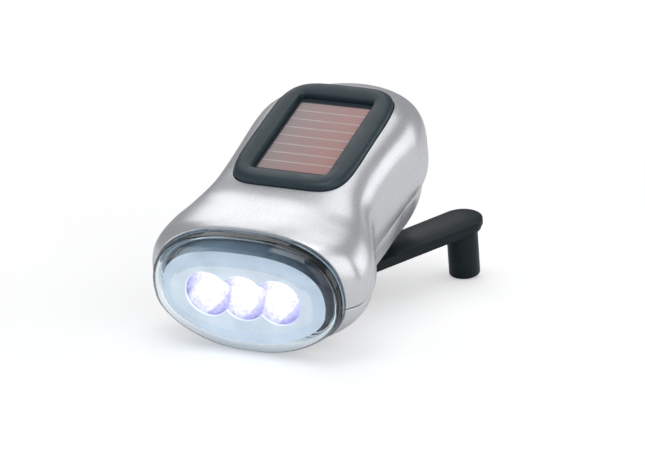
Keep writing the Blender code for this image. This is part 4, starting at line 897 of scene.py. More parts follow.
@dataclass(frozen=True)
class HousingForm:
    """Outer form of the moulded shell."""

    seam_y: float = -0.050
    dome_y: float = 0.010
    belly_end_y: float = 0.0425
    parting_end_y: float = 0.0415
    flat_end_y: float = 0.034
    half_width: float = 0.0324
    body_height: float = 0.0460
    parting_height: float = 0.0160
    wall: float = 0.0018
    gap: float = 0.0003
    edge: float = 0.00022
    stations: tuple[float, ...] = (0.0, 0.07, 0.17, 0.30, 0.43, 0.57, 0.70, 0.83, 0.92, 1.0)
    belly_widths: tuple[float, ...] = (0.890, 1.000, 1.000, 0.912, 0.794, 0.758, 0.758, 0.775,
                                       0.794, 0.807)
    parting_widths: tuple[float, ...] = (0.880, 0.974, 0.962, 0.854, 0.746, 0.697, 0.675, 0.660,
                                         0.646, 0.631)
    flat_widths: tuple[float, ...] = (0.096, 0.134, 0.182, 0.230, 0.263, 0.277, 0.287, 0.277,
                                      0.258, 0.239)
    belly_heights: tuple[float, ...] = (0.393, 0.395, 0.406, 0.446, 0.496, 0.541, 0.578, 0.600,
                                        0.602, 0.595)
    top_heights: tuple[float, ...] = (0.778, 0.788, 0.796, 0.809, 0.862, 0.910, 0.941, 0.969,
                                      0.987, 1.008)
    crown_powers: tuple[float, ...] = (0.64, 0.68, 0.73, 0.80, 0.90, 0.96, 1.0, 1.0, 0.975, 0.92)
    crown_power: float = 4.0
    flare_power: float = 1.8
    flank_power: float = 1.75
    tail_power: float = 1.85
    parting_tail_power: float = 2.7
    tail_profile_power: float = 2.5
    tail_rise_power: float = 1.4
    panel_tilt_deg: float = 10.0
    side_steps: int = 60
    tail_steps: int = 28
    flare_rings: int = 10
    crown_rings: int = 30
    crown_crowding: float = 1.6
    crown_end_deg: float = 89.8
    hollow_end_deg: float = 82.0
    flank_rings: int = 20
    edge_rings: int = 3
    edge_room: float = 1.5
    outline_steps: int = 40
    seam_bow: float = 0.0030
    bow_reach: float = 0.0098

    @staticmethod
    def cos_share(angle: float, power: float) -> float:
        """The cosine side of a superellipse of that power."""
        return max(math.cos(angle), 0.0) ** (2 / power)

    @staticmethod
    def sin_share(angle: float, power: float) -> float:
        """The sine side of a superellipse of that power."""
        return max(math.sin(angle), 0.0) ** (2 / power)

    def share_at(self, shares: Sequence[float], position: float) -> float:
        """A smooth value between the shares of the stations.

        Args:
            shares: one for each station.
            position: place along the length, from 0 at the seam to 1 at the dome.

        Returns:
            The value there.
        """
        last = len(self.stations) - 1
        place = min(max(position, 0.0), 1.0)
        k = min(max(int(np.searchsorted(self.stations, place, side="right")) - 1, 0), last - 1)

        def slope(i: int) -> float:
            """How fast the value changes at a station."""
            before, after = max(i - 1, 0), min(i + 1, last)
            return (shares[after] - shares[before]) / (self.stations[after] - self.stations[before])

        span = self.stations[k + 1] - self.stations[k]
        t = (place - self.stations[k]) / span
        rise = shares[k + 1] - shares[k]
        start, end = slope(k) * span, slope(k + 1) * span
        curve = 3 * rise - 2 * start - end + t * (start + end - 2 * rise)
        return shares[k] + t * (start + t * curve)

    def section_at(self, y: float, inset: float = 0.0) -> Section:
        """The half section at a place along the length.

        Args:
            y: the place.
            inset: how far it is drawn in.

        Returns:
            The section.
        """
        position = (y - self.seam_y) / (self.dome_y - self.seam_y)
        return Section(
            belly=self.half_width * self.share_at(self.belly_widths, position) - inset,
            parting=self.half_width * self.share_at(self.parting_widths, position) - inset,
            flat=self.half_width * self.share_at(self.flat_widths, position) - inset / 2,
            belly_z=self.body_height * self.share_at(self.belly_heights, position),
            top_z=self.body_height * self.share_at(self.top_heights, position) - inset,
            power=self.crown_power * self.share_at(self.crown_powers, position),
            base_z=inset,
        )

    def tail_rise(self, y: float, height: float) -> float:
        """How much the back still rises behind the dome's start.

        Args:
            y: the place along the length.
            height: the level that rises.

        Returns:
            The rise.
        """
        way = (y - self.dome_y) / (self.belly_end_y - self.dome_y)
        level = max(height - self.parting_height, 0) / (self.body_height - self.parting_height)
        fade = max(1 - way, 0.0) ** self.tail_rise_power
        return math.tan(math.radians(self.panel_tilt_deg)) * (y - self.dome_y) * level * fade

    def crown_height(self, x: float, y: float) -> float:
        """Height of the back at a point.

        Args:
            x: to the side.
            y: along the length.

        Returns:
            The height.
        """
        section = self.section_at(min(y, self.dome_y))
        reach = min(abs(x) / section.belly, 1)
        rise = (1 - reach ** section.power) ** (1 / section.power)
        top = section.top_z
        if y > self.dome_y:
            way = (y - self.dome_y) / (self.belly_end_y - self.dome_y)
            power = self.tail_profile_power
            rise *= (1 - way ** power) ** (1 / power)
            top += self.tail_rise(y, top)
        return section.belly_z + (top - section.belly_z) * rise

    def edge_rounding(self) -> list[tuple[float, float]]:
        """Height and inset of each ring of a rounded edge, from the edge on."""
        return [(self.edge * (1 - math.cos(a)), self.edge * (1 - math.sin(a)))
                for a in quarter(self.edge_rings)[:-1]]

    def upper_points(self, section: Section) -> list[RingPoint]:
        """Rings of the upper half, from the parting line up.

        Args:
            section: the half section that they lie in.

        Returns:
            The rings' points.
        """
        points = []
        flare = section.belly_z - self.parting_height
        shares = [(rise / flare, inset) for rise, inset in self.edge_rounding()]
        shares.append((self.edge / flare, 0.0))
        start = (self.edge + self.gap) / flare
        shares += [(start + (1 - start) * i / self.flare_rings, 0.0) for i in range(self.flare_rings)]
        for t, inset in shares:
            ease = 1 - (1 - t) ** self.flare_power
            width = section.parting + (section.belly - section.parting) * ease - inset
            points.append(RingPoint(width, self.parting_height + flare * t, Level.FLARE, ease, inset))
        for i in range(self.crown_rings + 1):
            left = 1 - i / (self.crown_rings + 1)
            angle = math.radians(self.crown_end_deg * (1 - left ** self.crown_crowding))
            if section.base_z >= self.wall and math.degrees(angle) > self.hollow_end_deg:
                break
            reach = self.cos_share(angle, section.power)
            rise = self.sin_share(angle, section.power)
            power = self.tail_profile_power
            profile = (1 - rise ** power) ** (1 / power)
            height = section.belly_z + (section.top_z - section.belly_z) * rise
            points.append(RingPoint(section.belly * reach, height, Level.CROWN, profile))
        return points

    def lower_points(self, section: Section) -> list[RingPoint]:
        """Rings of the lower half, from the parting line down.

        Args:
            section: the half section that they lie in.

        Returns:
            The rings' points.
        """
        points = [RingPoint(section.parting - inset, self.parting_height - drop, Level.FLANK, 1.0,
                            inset) for drop, inset in self.edge_rounding()]
        points.append(RingPoint(section.parting, self.parting_height - self.edge, Level.FLANK, 1.0))
        for angle in quarter(self.flank_rings)[1:]:
            reach = self.cos_share(angle, self.flank_power)
            drop = self.sin_share(angle, self.flank_power)
            width = section.flat + (section.parting - section.flat) * reach
            height = self.parting_height + (section.base_z - self.parting_height) * drop
            highest = self.parting_height - self.edge * self.edge_room
            points.append(RingPoint(width, min(height, highest), Level.FLANK, reach))
        return points

    def tail_end(self, point: RingPoint, inset: float) -> float:
        """How far back the tail reaches at a ring.

        Args:
            point: the ring's place in the section.
            inset: how far the half is drawn in.

        Returns:
            The tail's end along the length.
        """
        ends = {
            Level.FLARE: (self.parting_end_y, self.belly_end_y),
            Level.CROWN: (self.dome_y, self.belly_end_y),
            Level.FLANK: (self.flat_end_y, self.parting_end_y),
        }
        start, end = ends[point.level]
        return start + (end - start) * point.share - inset - point.inset

    def tail_square(self, point: RingPoint) -> float:
        """How square the tail is in plan at a ring.

        Args:
            point: the ring's place in the section.

        Returns:
            The power of its superellipse.
        """
        if point.level is Level.FLARE:
            return self.parting_tail_power + (self.tail_power - self.parting_tail_power) * point.share
        return self.tail_power if point.level is Level.CROWN else self.parting_tail_power

    def half(self, name: str, points_of: Callable[[Section], list[RingPoint]], inset: float,
             front_y: float, lift: float, ceiling: Callable[[float], float] | None = None,
             round_front: bool = False) -> bpy.types.Mesh:
        """One closed half of the form, from the seam to the tail.

        Args:
            name: the mesh's name.
            points_of: the rings of a section.
            inset: how far it is drawn in.
            front_y: where it starts.
            lift: how far the edge at the parting line is moved up.
            ceiling: the highest that it may reach at a place along the length.
            round_front: round the front edge.

        Returns:
            The mesh.
        """
        stations = []
        if round_front:
            stations = [(front_y + way, draw) for way, draw in self.edge_rounding()]
            front_y += self.edge
        stations += [(front_y + (self.dome_y - front_y) * i / self.side_steps, 0.0)
                     for i in range(self.side_steps + 1)]
        sides = [points_of(self.section_at(y, inset + draw)) for y, draw in stations]
        dome = sides[-1]
        rings = []
        for level, point in enumerate(dome):
            side = [(columns[level].width, y, columns[level].height)
                    for (y, _), columns in zip(stations, sides)]
            end = self.tail_end(point, inset)
            power = self.tail_square(point)
            for angle in quarter(self.tail_steps)[1:]:
                y = self.dome_y + (end - self.dome_y) * self.sin_share(angle, power)
                side.append((point.width * self.cos_share(angle, power), y,
                             point.height + self.tail_rise(y, point.height)))
            if level <= self.edge_rings:
                side = [(x, y, z + lift) for x, y, z in side]
            if ceiling is not None:
                side = [(x, y, min(z, ceiling(y))) for x, y, z in side]
            rings.append(side + [(-x, y, z) for x, y, z in reversed(side[:-1])])
        return self.closed_half(name, rings)

    @staticmethod
    def closed_half(name: str, rings: list[Ring]) -> bpy.types.Mesh:
        """Skin over mirrored rings, with strips across the first and the last.

        Args:
            name: the mesh's name.
            rings: the rings, each from one side over the tail to the other.

        Returns:
            The mesh.
        """
        count = len(rings[0])
        pole = count // 2
        faces = MeshWork.skin(rings, False)
        for base in (0, (len(rings) - 1) * count):
            for i in range(pole):
                j = count - 1 - i
                if i + 1 == j - 1:
                    faces.append((base + i, base + i + 1, base + j))
                else:
                    faces.append((base + i, base + i + 1, base + j - 1, base + j))
        return MeshWork.from_faces(name, [point for ring in rings for point in ring], faces)

    def bowed(self, mesh: bpy.types.Mesh) -> bpy.types.Mesh:
        """Draw the seam with the nose forward at the sides.

        Args:
            mesh: a mesh in the torch's layout, which is changed.

        Returns:
            The same mesh.
        """
        flat = np.empty(len(mesh.vertices) * 3)
        mesh.vertices.foreach_get("co", flat)
        points = flat.reshape(-1, 3)
        side = np.minimum(np.abs(points[:, 0]) / self.half_width, 1.0)
        near = np.clip(1 - ((points[:, 1] - self.seam_y) / self.bow_reach) ** 2, 0.0, 1.0)
        points[:, 1] -= self.seam_bow * side ** 2 * near ** 2
        mesh.vertices.foreach_set("co", points.ravel())
        mesh.update()
        return mesh

    def nose_loop(self, y: float, inset: float) -> Ring:
        """The nose's outline, drawn in by an inset and set at a place along the length.

        Args:
            y: where it stands.
            inset: how far it is drawn in.

        Returns:
            The loop's points.
        """
        section = self.section_at(self.seam_y)
        flat = section.flat * (1 - inset / section.parting)
        side = []
        for angle in reversed(quarter(self.outline_steps)):
            width = (section.belly - inset) * self.cos_share(angle, section.power)
            rise = (section.top_z - inset - section.belly_z) * self.sin_share(angle, section.power)
            side.append((width, section.belly_z + rise))
        for angle in quarter(self.outline_steps)[1:]:
            width = flat + (section.parting - inset - flat) * self.cos_share(angle, self.flank_power)
            drop = (self.parting_height - inset) * self.sin_share(angle, self.flank_power)
            side.append((width, self.parting_height - drop))
        right = [(x, y, z) for x, z in side]
        return right + [(-x, y, z) for x, z in reversed(side) if x > self.gap]


@dataclass
class Housing(Assembly):
    """Upper and lower shell, screws and slide switch."""

    form: HousingForm = field(default_factory=HousingForm)
    overrun: float = 0.004
    seat_depth: float = 0.0046
    seat_thickness: float = 0.0016
    round_steps: int = 48
    bush_radius: float = 0.0060
    pocket_y: float = -0.0377
    pocket_depth: float = 0.0145
    pocket_radius: float = 0.00565
    pocket_wall: float = 0.0013
    screw_places: tuple[tuple[str, float, float], ...] = (
        ("screw_front_left", -0.0172, -0.0405), ("screw_front_right", 0.0172, -0.0405),
        ("screw_rear_left", -0.0129, 0.0149), ("screw_rear_right", 0.0129, 0.0149))
    screw_boss: float = 0.0030
    screw_hole: float = 0.0026
    screw_seat: float = 0.0080
    switch_y: float = 0.0250
    switch_travel: float = 0.0025
    slider_half: float = 0.0022
    slider_proud: float = 0.0007
    slider_depth: float = 0.0042
    ridge_count: int = 3
    ridge_pitch: float = 0.0013
    ridge_width: float = 0.0006

    def build(self, panel: "SolarPanel") -> None:
        """Make the shells and dress what they hold.

        Args:
            panel: the panel whose seat is cut from the upper shell.
        """
        self.upper_shell(panel)
        self.lower_shell()
        self.screws()
        self.switch()

    def upper_shell(self, panel: "SolarPanel") -> None:
        """The upper shell, with the seat for the solar panel in its back.

        Args:
            panel: the panel whose seat is cut.
        """
        form = self.form
        seat_front = panel.y - panel.half_length - self.seat_thickness

        def ceiling(y: float) -> float:
            """The highest that the hollow may reach, under the panel's seat."""
            under = panel.height_at(max(y, seat_front), -self.seat_depth - self.seat_thickness)
            return under if y > seat_front else form.body_height

        front = form.seam_y + form.gap / 2
        outer = form.half("upper_shell", form.upper_points, 0, front, form.gap / 2, round_front=True)
        hollow = form.half("upper_hollow", form.upper_points, form.wall, form.seam_y - self.overrun,
                           -self.overrun, ceiling)
        seat = MeshWork.lofted("panel_seat", [panel.outline(-form.gap, z)
                                              for z in (-self.seat_depth, panel.rise + self.overrun)])
        mesh = MeshWork.combined(outer, [(hollow, HERE, Operation.CUT),
                                         (seat, panel.local_place(), Operation.CUT)])
        self.add("upper_shell", form.bowed(mesh), SILVER, Slot.SILVER_PAINT, Body.HOUSING,
                 replaces=("upper_housing",))

    def lower_shell(self) -> None:
        """The lower shell, with its bores, screw wells, knob pocket and switch slot."""
        form = self.form
        front = form.seam_y + form.gap / 2
        outer = form.half("lower_shell", form.lower_points, 0, front, -form.gap / 2, round_front=True)
        hollow = form.half("lower_hollow", form.lower_points, form.wall, form.seam_y - self.overrun,
                           self.overrun)
        steps = [(hollow, HERE, Operation.CUT)]
        columns = [(name, self.screw_boss, form.parting_height - form.gap, x, y)
                   for name, x, y in self.screw_places]
        columns.append(("pocket", self.pocket_radius + self.pocket_wall,
                        self.pocket_depth + self.pocket_wall, 0.0, self.pocket_y))
        for name, radius, top, x, y in columns:
            core = form.half(name + "_core", form.lower_points, form.wall / 2, front + form.gap,
                             self.overrun)
            column = MeshWork.drum(name + "_column", radius, -self.overrun, top, self.round_steps)
            column.transform(Matrix.Translation((x, y, 0)))
            post = MeshWork.combined(column, [(core, HERE, Operation.KEEP)])
            steps.append((post, HERE, Operation.JOIN))
        bores = [(name + "_well", self.screw_hole, self.screw_seat, x, y)
                 for name, x, y in self.screw_places]
        bores += [("pocket_bore", self.pocket_radius, self.pocket_depth, 0.0, self.pocket_y),
                  ("bush_bore", self.bush_radius, form.wall + self.overrun, 0.0, 0.0)]
        for name, radius, top, x, y in bores:
            bore = MeshWork.drum(name, radius, -self.overrun, top, self.round_steps)
            steps.append((bore, Matrix.Translation((x, y, 0)), Operation.CUT))
        half = self.slider_half + form.gap
        slot = MeshWork.block("switch_slot", (-half, -half, -self.overrun),
                              (half, half + self.switch_travel, form.wall + self.overrun))
        steps.append((slot, Matrix.Translation((0, self.switch_y, 0)), Operation.CUT))
        mesh = MeshWork.combined(outer, steps)
        self.add("lower_shell", form.bowed(mesh), SILVER, Slot.SILVER_PAINT, Body.HOUSING,
                 replaces=("lower_housing",))

    def screws(self) -> None:
        """Give the housing screws their finish."""
        self.dress(SCREW_STEEL, *(name for name, _, _ in self.screw_places))

    def switch(self) -> None:
        """The ribbed button of the slide switch, and its case."""
        half, proud = self.slider_half, self.slider_proud
        button = MeshWork.block("slider_button", (-half, -half, -proud),
                                (half, half, self.slider_depth))
        grooves = []
        for k in range(self.ridge_count):
            y = (k - (self.ridge_count - 1) / 2) * self.ridge_pitch
            low, high = y - self.ridge_width / 2, y + self.ridge_width / 2
            groove = MeshWork.block(f"slider_groove_{k}", (-2 * half, low, -2 * proud),
                                    (2 * half, high, -proud / 2))
            grooves.append((groove, HERE, Operation.CUT))
        mesh = MeshWork.bevelled(MeshWork.combined(button, grooves), self.form.gap / 3, segments=2)
        self.add("slider_button", mesh, BLACK, Slot.BLACK_PLASTIC, Body.SWITCH,
                 self.at(0, self.switch_y, 0), ("switch_slider",))
        self.dress(GLOSS_BLACK, "switch_body")


@dataclass
class SolarPanel(Assembly):
    """Black bezel and the cell in its window."""

    form: HousingForm = field(default_factory=HousingForm)
    y: float = -0.0044
    height: float = 0.0424
    middle_y: float = 0.0012
    half_width: float = 0.0181
    half_length: float = 0.0251
    front_power: float = 5.1
    rear_power: float = 4.5
    rise: float = 0.0019
    edge: float = 0.0009
    proud: float = 0.0006
    slope: float = 0.0024
    crest_power: float = 1.1
    seat_depth: float = 0.0046
    window_middle_y: float = 0.0006
    window_half_width: float = 0.0118
    window_half_length: float = 0.0187
    window_power: float = 20.0
    window_chamfer: float = 0.0004
    chamfer_steps: tuple[tuple[float, float], ...] = ((1.6, 0.0), (1.0, 0.25), (1 / 3, 0.8), (0.0, 2.0))
    lip: float = 0.0010
    cell_thickness: float = 0.0014
    film_half_width: float = 0.0110
    film_half_length: float = 0.01665
    film_thickness: float = 0.00004
    strip_count: int = 8
    line_width: float = 0.00045
    outline_steps: int = 160
    slope_rings: int = 10

    def local_place(self) -> Matrix:
        """The panel's place in the torch's layout."""
        turn = Matrix.Rotation(math.radians(self.form.panel_tilt_deg), 4, "X")
        return Matrix.Translation((0, self.y, self.height)) @ turn

    def height_at(self, y: float, lift: float) -> float:
        """Height of a plane parallel to the cell's face, at a place along the length."""
        tilt = math.radians(self.form.panel_tilt_deg)
        return self.height + (y - self.y) * math.tan(tilt) + lift / math.cos(tilt)

    def loop(self, half_width: float, half_length: float, powers: tuple[float, float],
             middle_y: float, height: float) -> Ring:
        """A rounded rectangle at a height.

        Args:
            half_width: to its side.
            half_length: to its ends.
            powers: squareness of the front and of the rear corners.
            middle_y: its middle along the length.
            height: over the cell's face.

        Returns:
            The loop's points.
        """
        ring = []
        for i in range(self.outline_steps):
            angle = 2 * math.pi * (i + 0.5) / self.outline_steps
            c, s = math.cos(angle), math.sin(angle)
            power = powers[0] if s < 0 else powers[1]
            x = math.copysign(abs(c) ** (2 / power), c) * half_width
            y = math.copysign(abs(s) ** (2 / power), s) * half_length
            ring.append((x, middle_y + y, height))
        return ring

    def outline(self, inset: float, height: float) -> Ring:
        """The bezel's outer outline, drawn in by an inset, at a height."""
        return self.loop(self.half_width - inset, self.half_length - inset,
                         (self.front_power, self.rear_power), self.middle_y, height)

    def window(self, grow: float, height: float) -> Ring:
        """The window's outline, widened by a length, at a height."""
        return self.loop(self.window_half_width + grow, self.window_half_length + grow,
                         (self.window_power, self.window_power), self.window_middle_y, height)

    def hugging(self, inset: float, share: float) -> Ring:
        """A ring between the housing's surface and the crest.

        Args:
            inset: how far it is drawn in.
            share: 0 at the surface and 1 at the crest.

        Returns:
            The ring's points.
        """
        tilt = math.radians(self.form.panel_tilt_deg)
        ring = []
        for (x, y, _), (outer_x, outer_y, _) in zip(self.outline(inset, 0), self.outline(0, 0)):
            surface = self.form.crown_height(outer_x, self.y + outer_y * math.cos(tilt))
            edge = surface - self.height_at(self.y + outer_y, 0)
            edge = min(edge + self.proud, self.rise - self.edge)
            ring.append((x, y, edge + (self.rise - edge) * share))
        return ring

    def build(self) -> None:
        """Make the bezel and the cell."""
        self.bezel()
        self.cell()

    def bezel(self) -> None:
        """The moulded frame that is rounded over the housing's back."""
        gap = self.form.gap
        floor = -self.seat_depth + gap
        under = self.lip + gap
        rings = [self.outline(0, floor)]
        for angle in quarter(self.slope_rings):
            rings.append(self.hugging(self.slope * (1 - math.cos(angle)),
                                      math.sin(angle) ** self.crest_power))
        chamfer = self.window_chamfer
        rings += [self.window(chamfer * out, self.rise - chamfer * down)
                  for out, down in self.chamfer_steps]
        rings += [self.window(0, gap), self.window(under, gap), self.window(under, floor)]
        mesh = MeshWork.lofted("bezel_frame", rings, closed=True)
        self.add("bezel_frame", mesh, BLACK, Slot.BLACK_PLASTIC, Body.HOUSING,
                 self.layout @ self.local_place(), ("solar_bezel",))

    def cell(self) -> None:
        """The dark plate, the strips of film on it and the pale lines between them."""
        place = self.layout @ self.local_place()
        plate = MeshWork.lofted("cell_plate", [self.window(self.lip, z)
                                               for z in (-self.cell_thickness, 0)])
        self.add("cell_plate", plate, CELL_MARGIN, Slot.CELL_FILM, Body.HOUSING, place,
                 ("solar_cell",))
        pitch = 2 * self.film_half_length / self.strip_count
        front = self.window_middle_y - self.film_half_length
        half_line = self.line_width / 2
        wide, thick = self.film_half_width, self.film_thickness
        strips, lines = [], []
        for k in range(self.strip_count):
            y = front + k * pitch
            strips.append(MeshWork.block(f"strip_{k}", (-wide, y + half_line, 0),
                                         (wide, y + pitch - half_line, thick)))
            if k:
                lines.append(MeshWork.block(f"line_{k}", (-wide, y - half_line, 0),
                                            (wide, y + half_line, thick)))
        self.add("cell_film_strips", MeshWork.merged("cell_film_strips", strips), FILM,
                 Slot.CELL_FILM, Body.HOUSING, place)
        self.add("cell_contact_lines", MeshWork.merged("cell_contact_lines", lines), FILM_LINE,
                 Slot.CELL_FILM, Body.HOUSING, place)
        self.dress(FOAM, "cell_pad")


@dataclass
class Nose(Assembly):
    """Clear cap, reflector with its cups, lamps and their board."""

    form: HousingForm = field(default_factory=HousingForm)
    depth: float = 0.0100
    wall: float = 0.0018
    side_share: float = 0.30
    edge_inset: float = 0.0055
    crown: float = 0.0009
    lip_length: float = 0.0030
    lip_wall: float = 0.0014
    side_start: float = 0.0024
    rim_width: float = 0.0009
    rim_step: float = 0.0004
    edge_steps: int = 14
    face_steps: int = 8
    reflector_y: float = -0.0566
    reflector_inset: float = 0.0045
    reflector_wall: float = 0.0012
    cup_pitch: float = 0.0107
    cup_height: float = 0.0182
    cup_radius: float = 0.0069
    cup_floor: float = 0.0029
    cup_depth: float = 0.0062
    cup_wall: float = 0.0009
    cup_power: float = 0.55
    cup_steps: int = 16
    well_steps: int = 68
    # Painted light on the reflector: the face's glow, and in the cups a glow that grows with depth and
    # fades to painted shade at each cup's right.
    face_painted_glow: float = 0.30
    least_glow: float = 0.06
    glow_power: float = 0.7
    right_painted_shade: float = 0.93
    painted_shade_power: float = 1.1
    lamp_side_glow: float = 0.7
    lip: float = 0.0004
    lip_height: float = 0.0002
    lamp_radius: float = 0.0025
    flange_radius: float = 0.0029
    flange: float = 0.0010
    lamp_length: float = 0.0084
    board_y: float = -0.0475
    round_steps: int = 64

    def build(self) -> None:
        """Make the nose's pieces."""
        self.cap()
        self.reflector()
        self.lamps()
        self.dress(BOARD, "led_board")

    def cup_places(self) -> tuple[tuple[str, float], ...]:
        """Name and side place of each lamp."""
        return ("left", -self.cup_pitch), ("middle", 0.0), ("right", self.cup_pitch)

    def cap(self) -> None:
        """The clear cap: a spigot in the housing, straight sides and a bulged face."""
        form = self.form
        face_y = form.seam_y - self.depth
        rim_y = form.seam_y - form.gap / 2
        side_y = form.seam_y - self.depth * self.side_share
        lip_inset = form.wall + 2 * form.gap
        lip_y = form.seam_y + self.lip_length
        round_off = form.edge
        strip_y = rim_y - self.rim_width
        step = self.rim_step
        outside = [(lip_y, lip_inset), (rim_y, lip_inset), (rim_y, round_off),
                   (rim_y - round_off, 0), (strip_y, 0), (strip_y - step / 3, step), (side_y, step)]
        inside = [(lip_y, lip_inset + self.lip_wall), (rim_y, lip_inset + self.lip_wall),
                  (side_y, self.wall + step)]
        edge_depth = face_y + self.crown - side_y
        half_height = form.parting_height * form.top_heights[0]
        for wall, rings in ((0.0, outside), (self.wall, inside)):
            for angle in quarter(self.edge_steps)[1:]:
                draw = (self.edge_inset - step) * (1 - math.cos(angle)) + step
                rings.append((side_y + (edge_depth + wall) * math.sin(angle), draw + wall))
            start_y, start = rings[-1]
            for i in range(1, self.face_steps + 1):
                way = i / self.face_steps
                bulge = self.crown * (1 - (1 - way) ** 2)
                rings.append((start_y - bulge, start + (half_height - start) * way))
        rings = [form.nose_loop(y, inset) for y, inset in reversed(outside)]
        rings += [form.nose_loop(y, inset) for y, inset in inside]
        mesh = form.bowed(MeshWork.lofted("clear_cap", rings))
        piece = self.add("clear_cap", mesh, CLEAR, Slot.CLEAR_PLASTIC, Body.HOUSING,
                         replaces=("lens_cap",))
        # The side band between the face and the rim strip gets the second clear material, whose tint
        # darkens upwards: painted shade.
        piece.data.materials.append(CLEAR_SIDE_PAINTED_SHADE.material())
        back = self.layout.inverted()
        for face in piece.data.polygons:
            away = (back @ face.center).y - face_y
            face.material_index = int(self.side_start < away < strip_y - face_y)

    def well_profile(self) -> list[tuple[float, float]]:
        """A cup's opening and the neck for its lamp.

        Returns:
            Radius and height of each point, from over the mouth down.
        """
        neck = self.lamp_radius + self.form.gap
        points = [(0.0, self.cup_depth), (self.cup_radius, self.cup_depth)]
        for i in range(self.cup_steps + 1):
            share = 1 - i / self.cup_steps
            radius = self.cup_floor + (self.cup_radius - self.cup_floor) * share ** self.cup_power
            points.append((radius, -self.cup_depth * (1 - share)))
        return [*points, (neck, -self.cup_depth), (neck, -2 * self.cup_depth),
                (0.0, -2 * self.cup_depth)]

    def reflector(self) -> None:
        """The mirror-coated insert with three cups that run into each other."""
        form = self.form
        rear_y = self.board_y - form.gap
        skirt = form.wall + 3 * form.gap + self.lip_wall
        rim_y = form.seam_y - form.gap
        wall = self.reflector_wall
        front_y, inset, edge = self.reflector_y, self.reflector_inset, form.edge
        rings = [form.nose_loop(y, draw) for y, draw in (
            (front_y, inset), (front_y + edge, inset - edge), (rim_y, skirt + form.gap),
            (rear_y, skirt), (rear_y, skirt + wall), (front_y + wall, inset + wall))]
        body = MeshWork.lofted("reflector_insert", rings)
        steps = []
        for name, x in self.cup_places():
            lift = 0.0 if x else form.gap / 3
            reach = self.cup_radius + self.cup_wall - lift
            front, rear = -wall / 2 - lift, -self.cup_depth - self.cup_wall + lift
            lip = MeshWork.drum(name + "_lip", self.cup_radius + self.lip, -wall / 2 - lift / 2,
                                self.lip_height + lift / 4, self.round_steps)
            steps.append((lip, self.cup_place(x), Operation.JOIN))
            profile = [(0, front), (reach, front), (reach, -self.cup_depth / 2),
                       (self.cup_floor + 2 * self.cup_wall, rear), (0, rear)]
            cup = MeshWork.turned(name + "_cup", profile, self.round_steps)
            steps.append((cup, self.cup_place(x), Operation.JOIN))
        for name, x in self.cup_places():
            well = MeshWork.turned(name + "_well", self.well_profile(), self.well_steps)
            steps.append((well, self.cup_place(x), Operation.CUT))
        mesh = MeshWork.combined(body, steps)
        piece = self.add("reflector_insert", mesh, MIRROR, Slot.MIRROR_COAT, Body.HOUSING,
                         replaces=("reflector",))
        # Material 1 is the face with its painted glow and material 2 the sides with their painted
        # shade; the cups keep the mirror, whose glow is painted light.
        piece.data.materials.append(REFLECTOR_FACE_PAINTED_GLOW.material())
        piece.data.materials.append(REFLECTOR_SIDE_PAINTED_SHADE.material())
        self.kindle(piece, self.cup_painted_light)
        back = self.layout.inverted()
        mouth = self.cup_radius + form.gap / 3
        for face in piece.data.polygons:
            middle = back @ face.center
            ahead = middle.y < self.reflector_y + form.gap
            in_cup = any(math.hypot(middle.x - x, middle.z - self.cup_height) < mouth
                         for _, x in self.cup_places())
            if ahead or not in_cup:
                face.material_index = 1 if ahead else 2

    def cup_painted_light(self, point: Vector) -> float:
        """How much the reflector glows at a point, as painted light.

        Args:
            point: the point in the torch's layout.

        Returns:
            The face's painted glow outside the cups; inside, painted light that grows with depth, and
            painted shade towards the right.
        """
        depth = (point.y - self.reflector_y) / self.cup_depth
        if depth < self.form.gap / self.cup_depth:
            return self.face_painted_glow
        across = min((point.x - x for _, x in self.cup_places()), key=abs)
        right = min(max(across / self.cup_radius, 0.0), 1.0)
        rise = self.least_glow + (1 - self.least_glow) * min(depth, 1.0) ** self.glow_power
        return rise * (1 - self.right_painted_shade * right ** self.painted_shade_power)

    def kindle(self, piece: bpy.types.Object, glow: Callable[[Vector], float]) -> None:
        """Store how much a piece glows at each of its points.

        Args:
            piece: the piece.
            glow: the glow by the point in the torch's layout.
        """
        back = self.layout.inverted()
        values = [glow(back @ vertex.co) for vertex in piece.data.vertices]
        layer = piece.data.attributes.new(GLOW, "FLOAT", "POINT")
        layer.data.foreach_set("value", values)

    def cup_place(self, x: float) -> Matrix:
        """A cup's place in the torch's layout."""
        return Matrix.Translation((x, self.reflector_y, self.cup_height)) @ FORWARD

    def lamps(self) -> None:
        """The three lit lamps, each a domed cylinder on a flange."""
        base = -(self.board_y - self.form.gap)
        shoulder = base + self.lamp_length - self.lamp_radius
        top = base + self.flange
        dome = [(self.lamp_radius * math.sin(a), shoulder + self.lamp_radius * math.cos(a))
                for a in quarter(self.cup_steps)]
        profile = [*dome, (self.lamp_radius, top), (self.flange_radius, top),
                   (self.flange_radius, base), (0.0, base)]
        for name, x in self.cup_places():
            mesh = MeshWork.turned("lamp_" + name, profile, self.round_steps // 2)
            lamp = self.add("lamp_" + name, mesh, LAMP_GLOW, Slot.LED_EPOXY, Body.HOUSING,
                            self.at(x, 0, self.cup_height, FORWARD), ("led_" + name,))
            self.kindle(lamp, lambda point: 1.0 if point.y < -shoulder else self.lamp_side_glow)


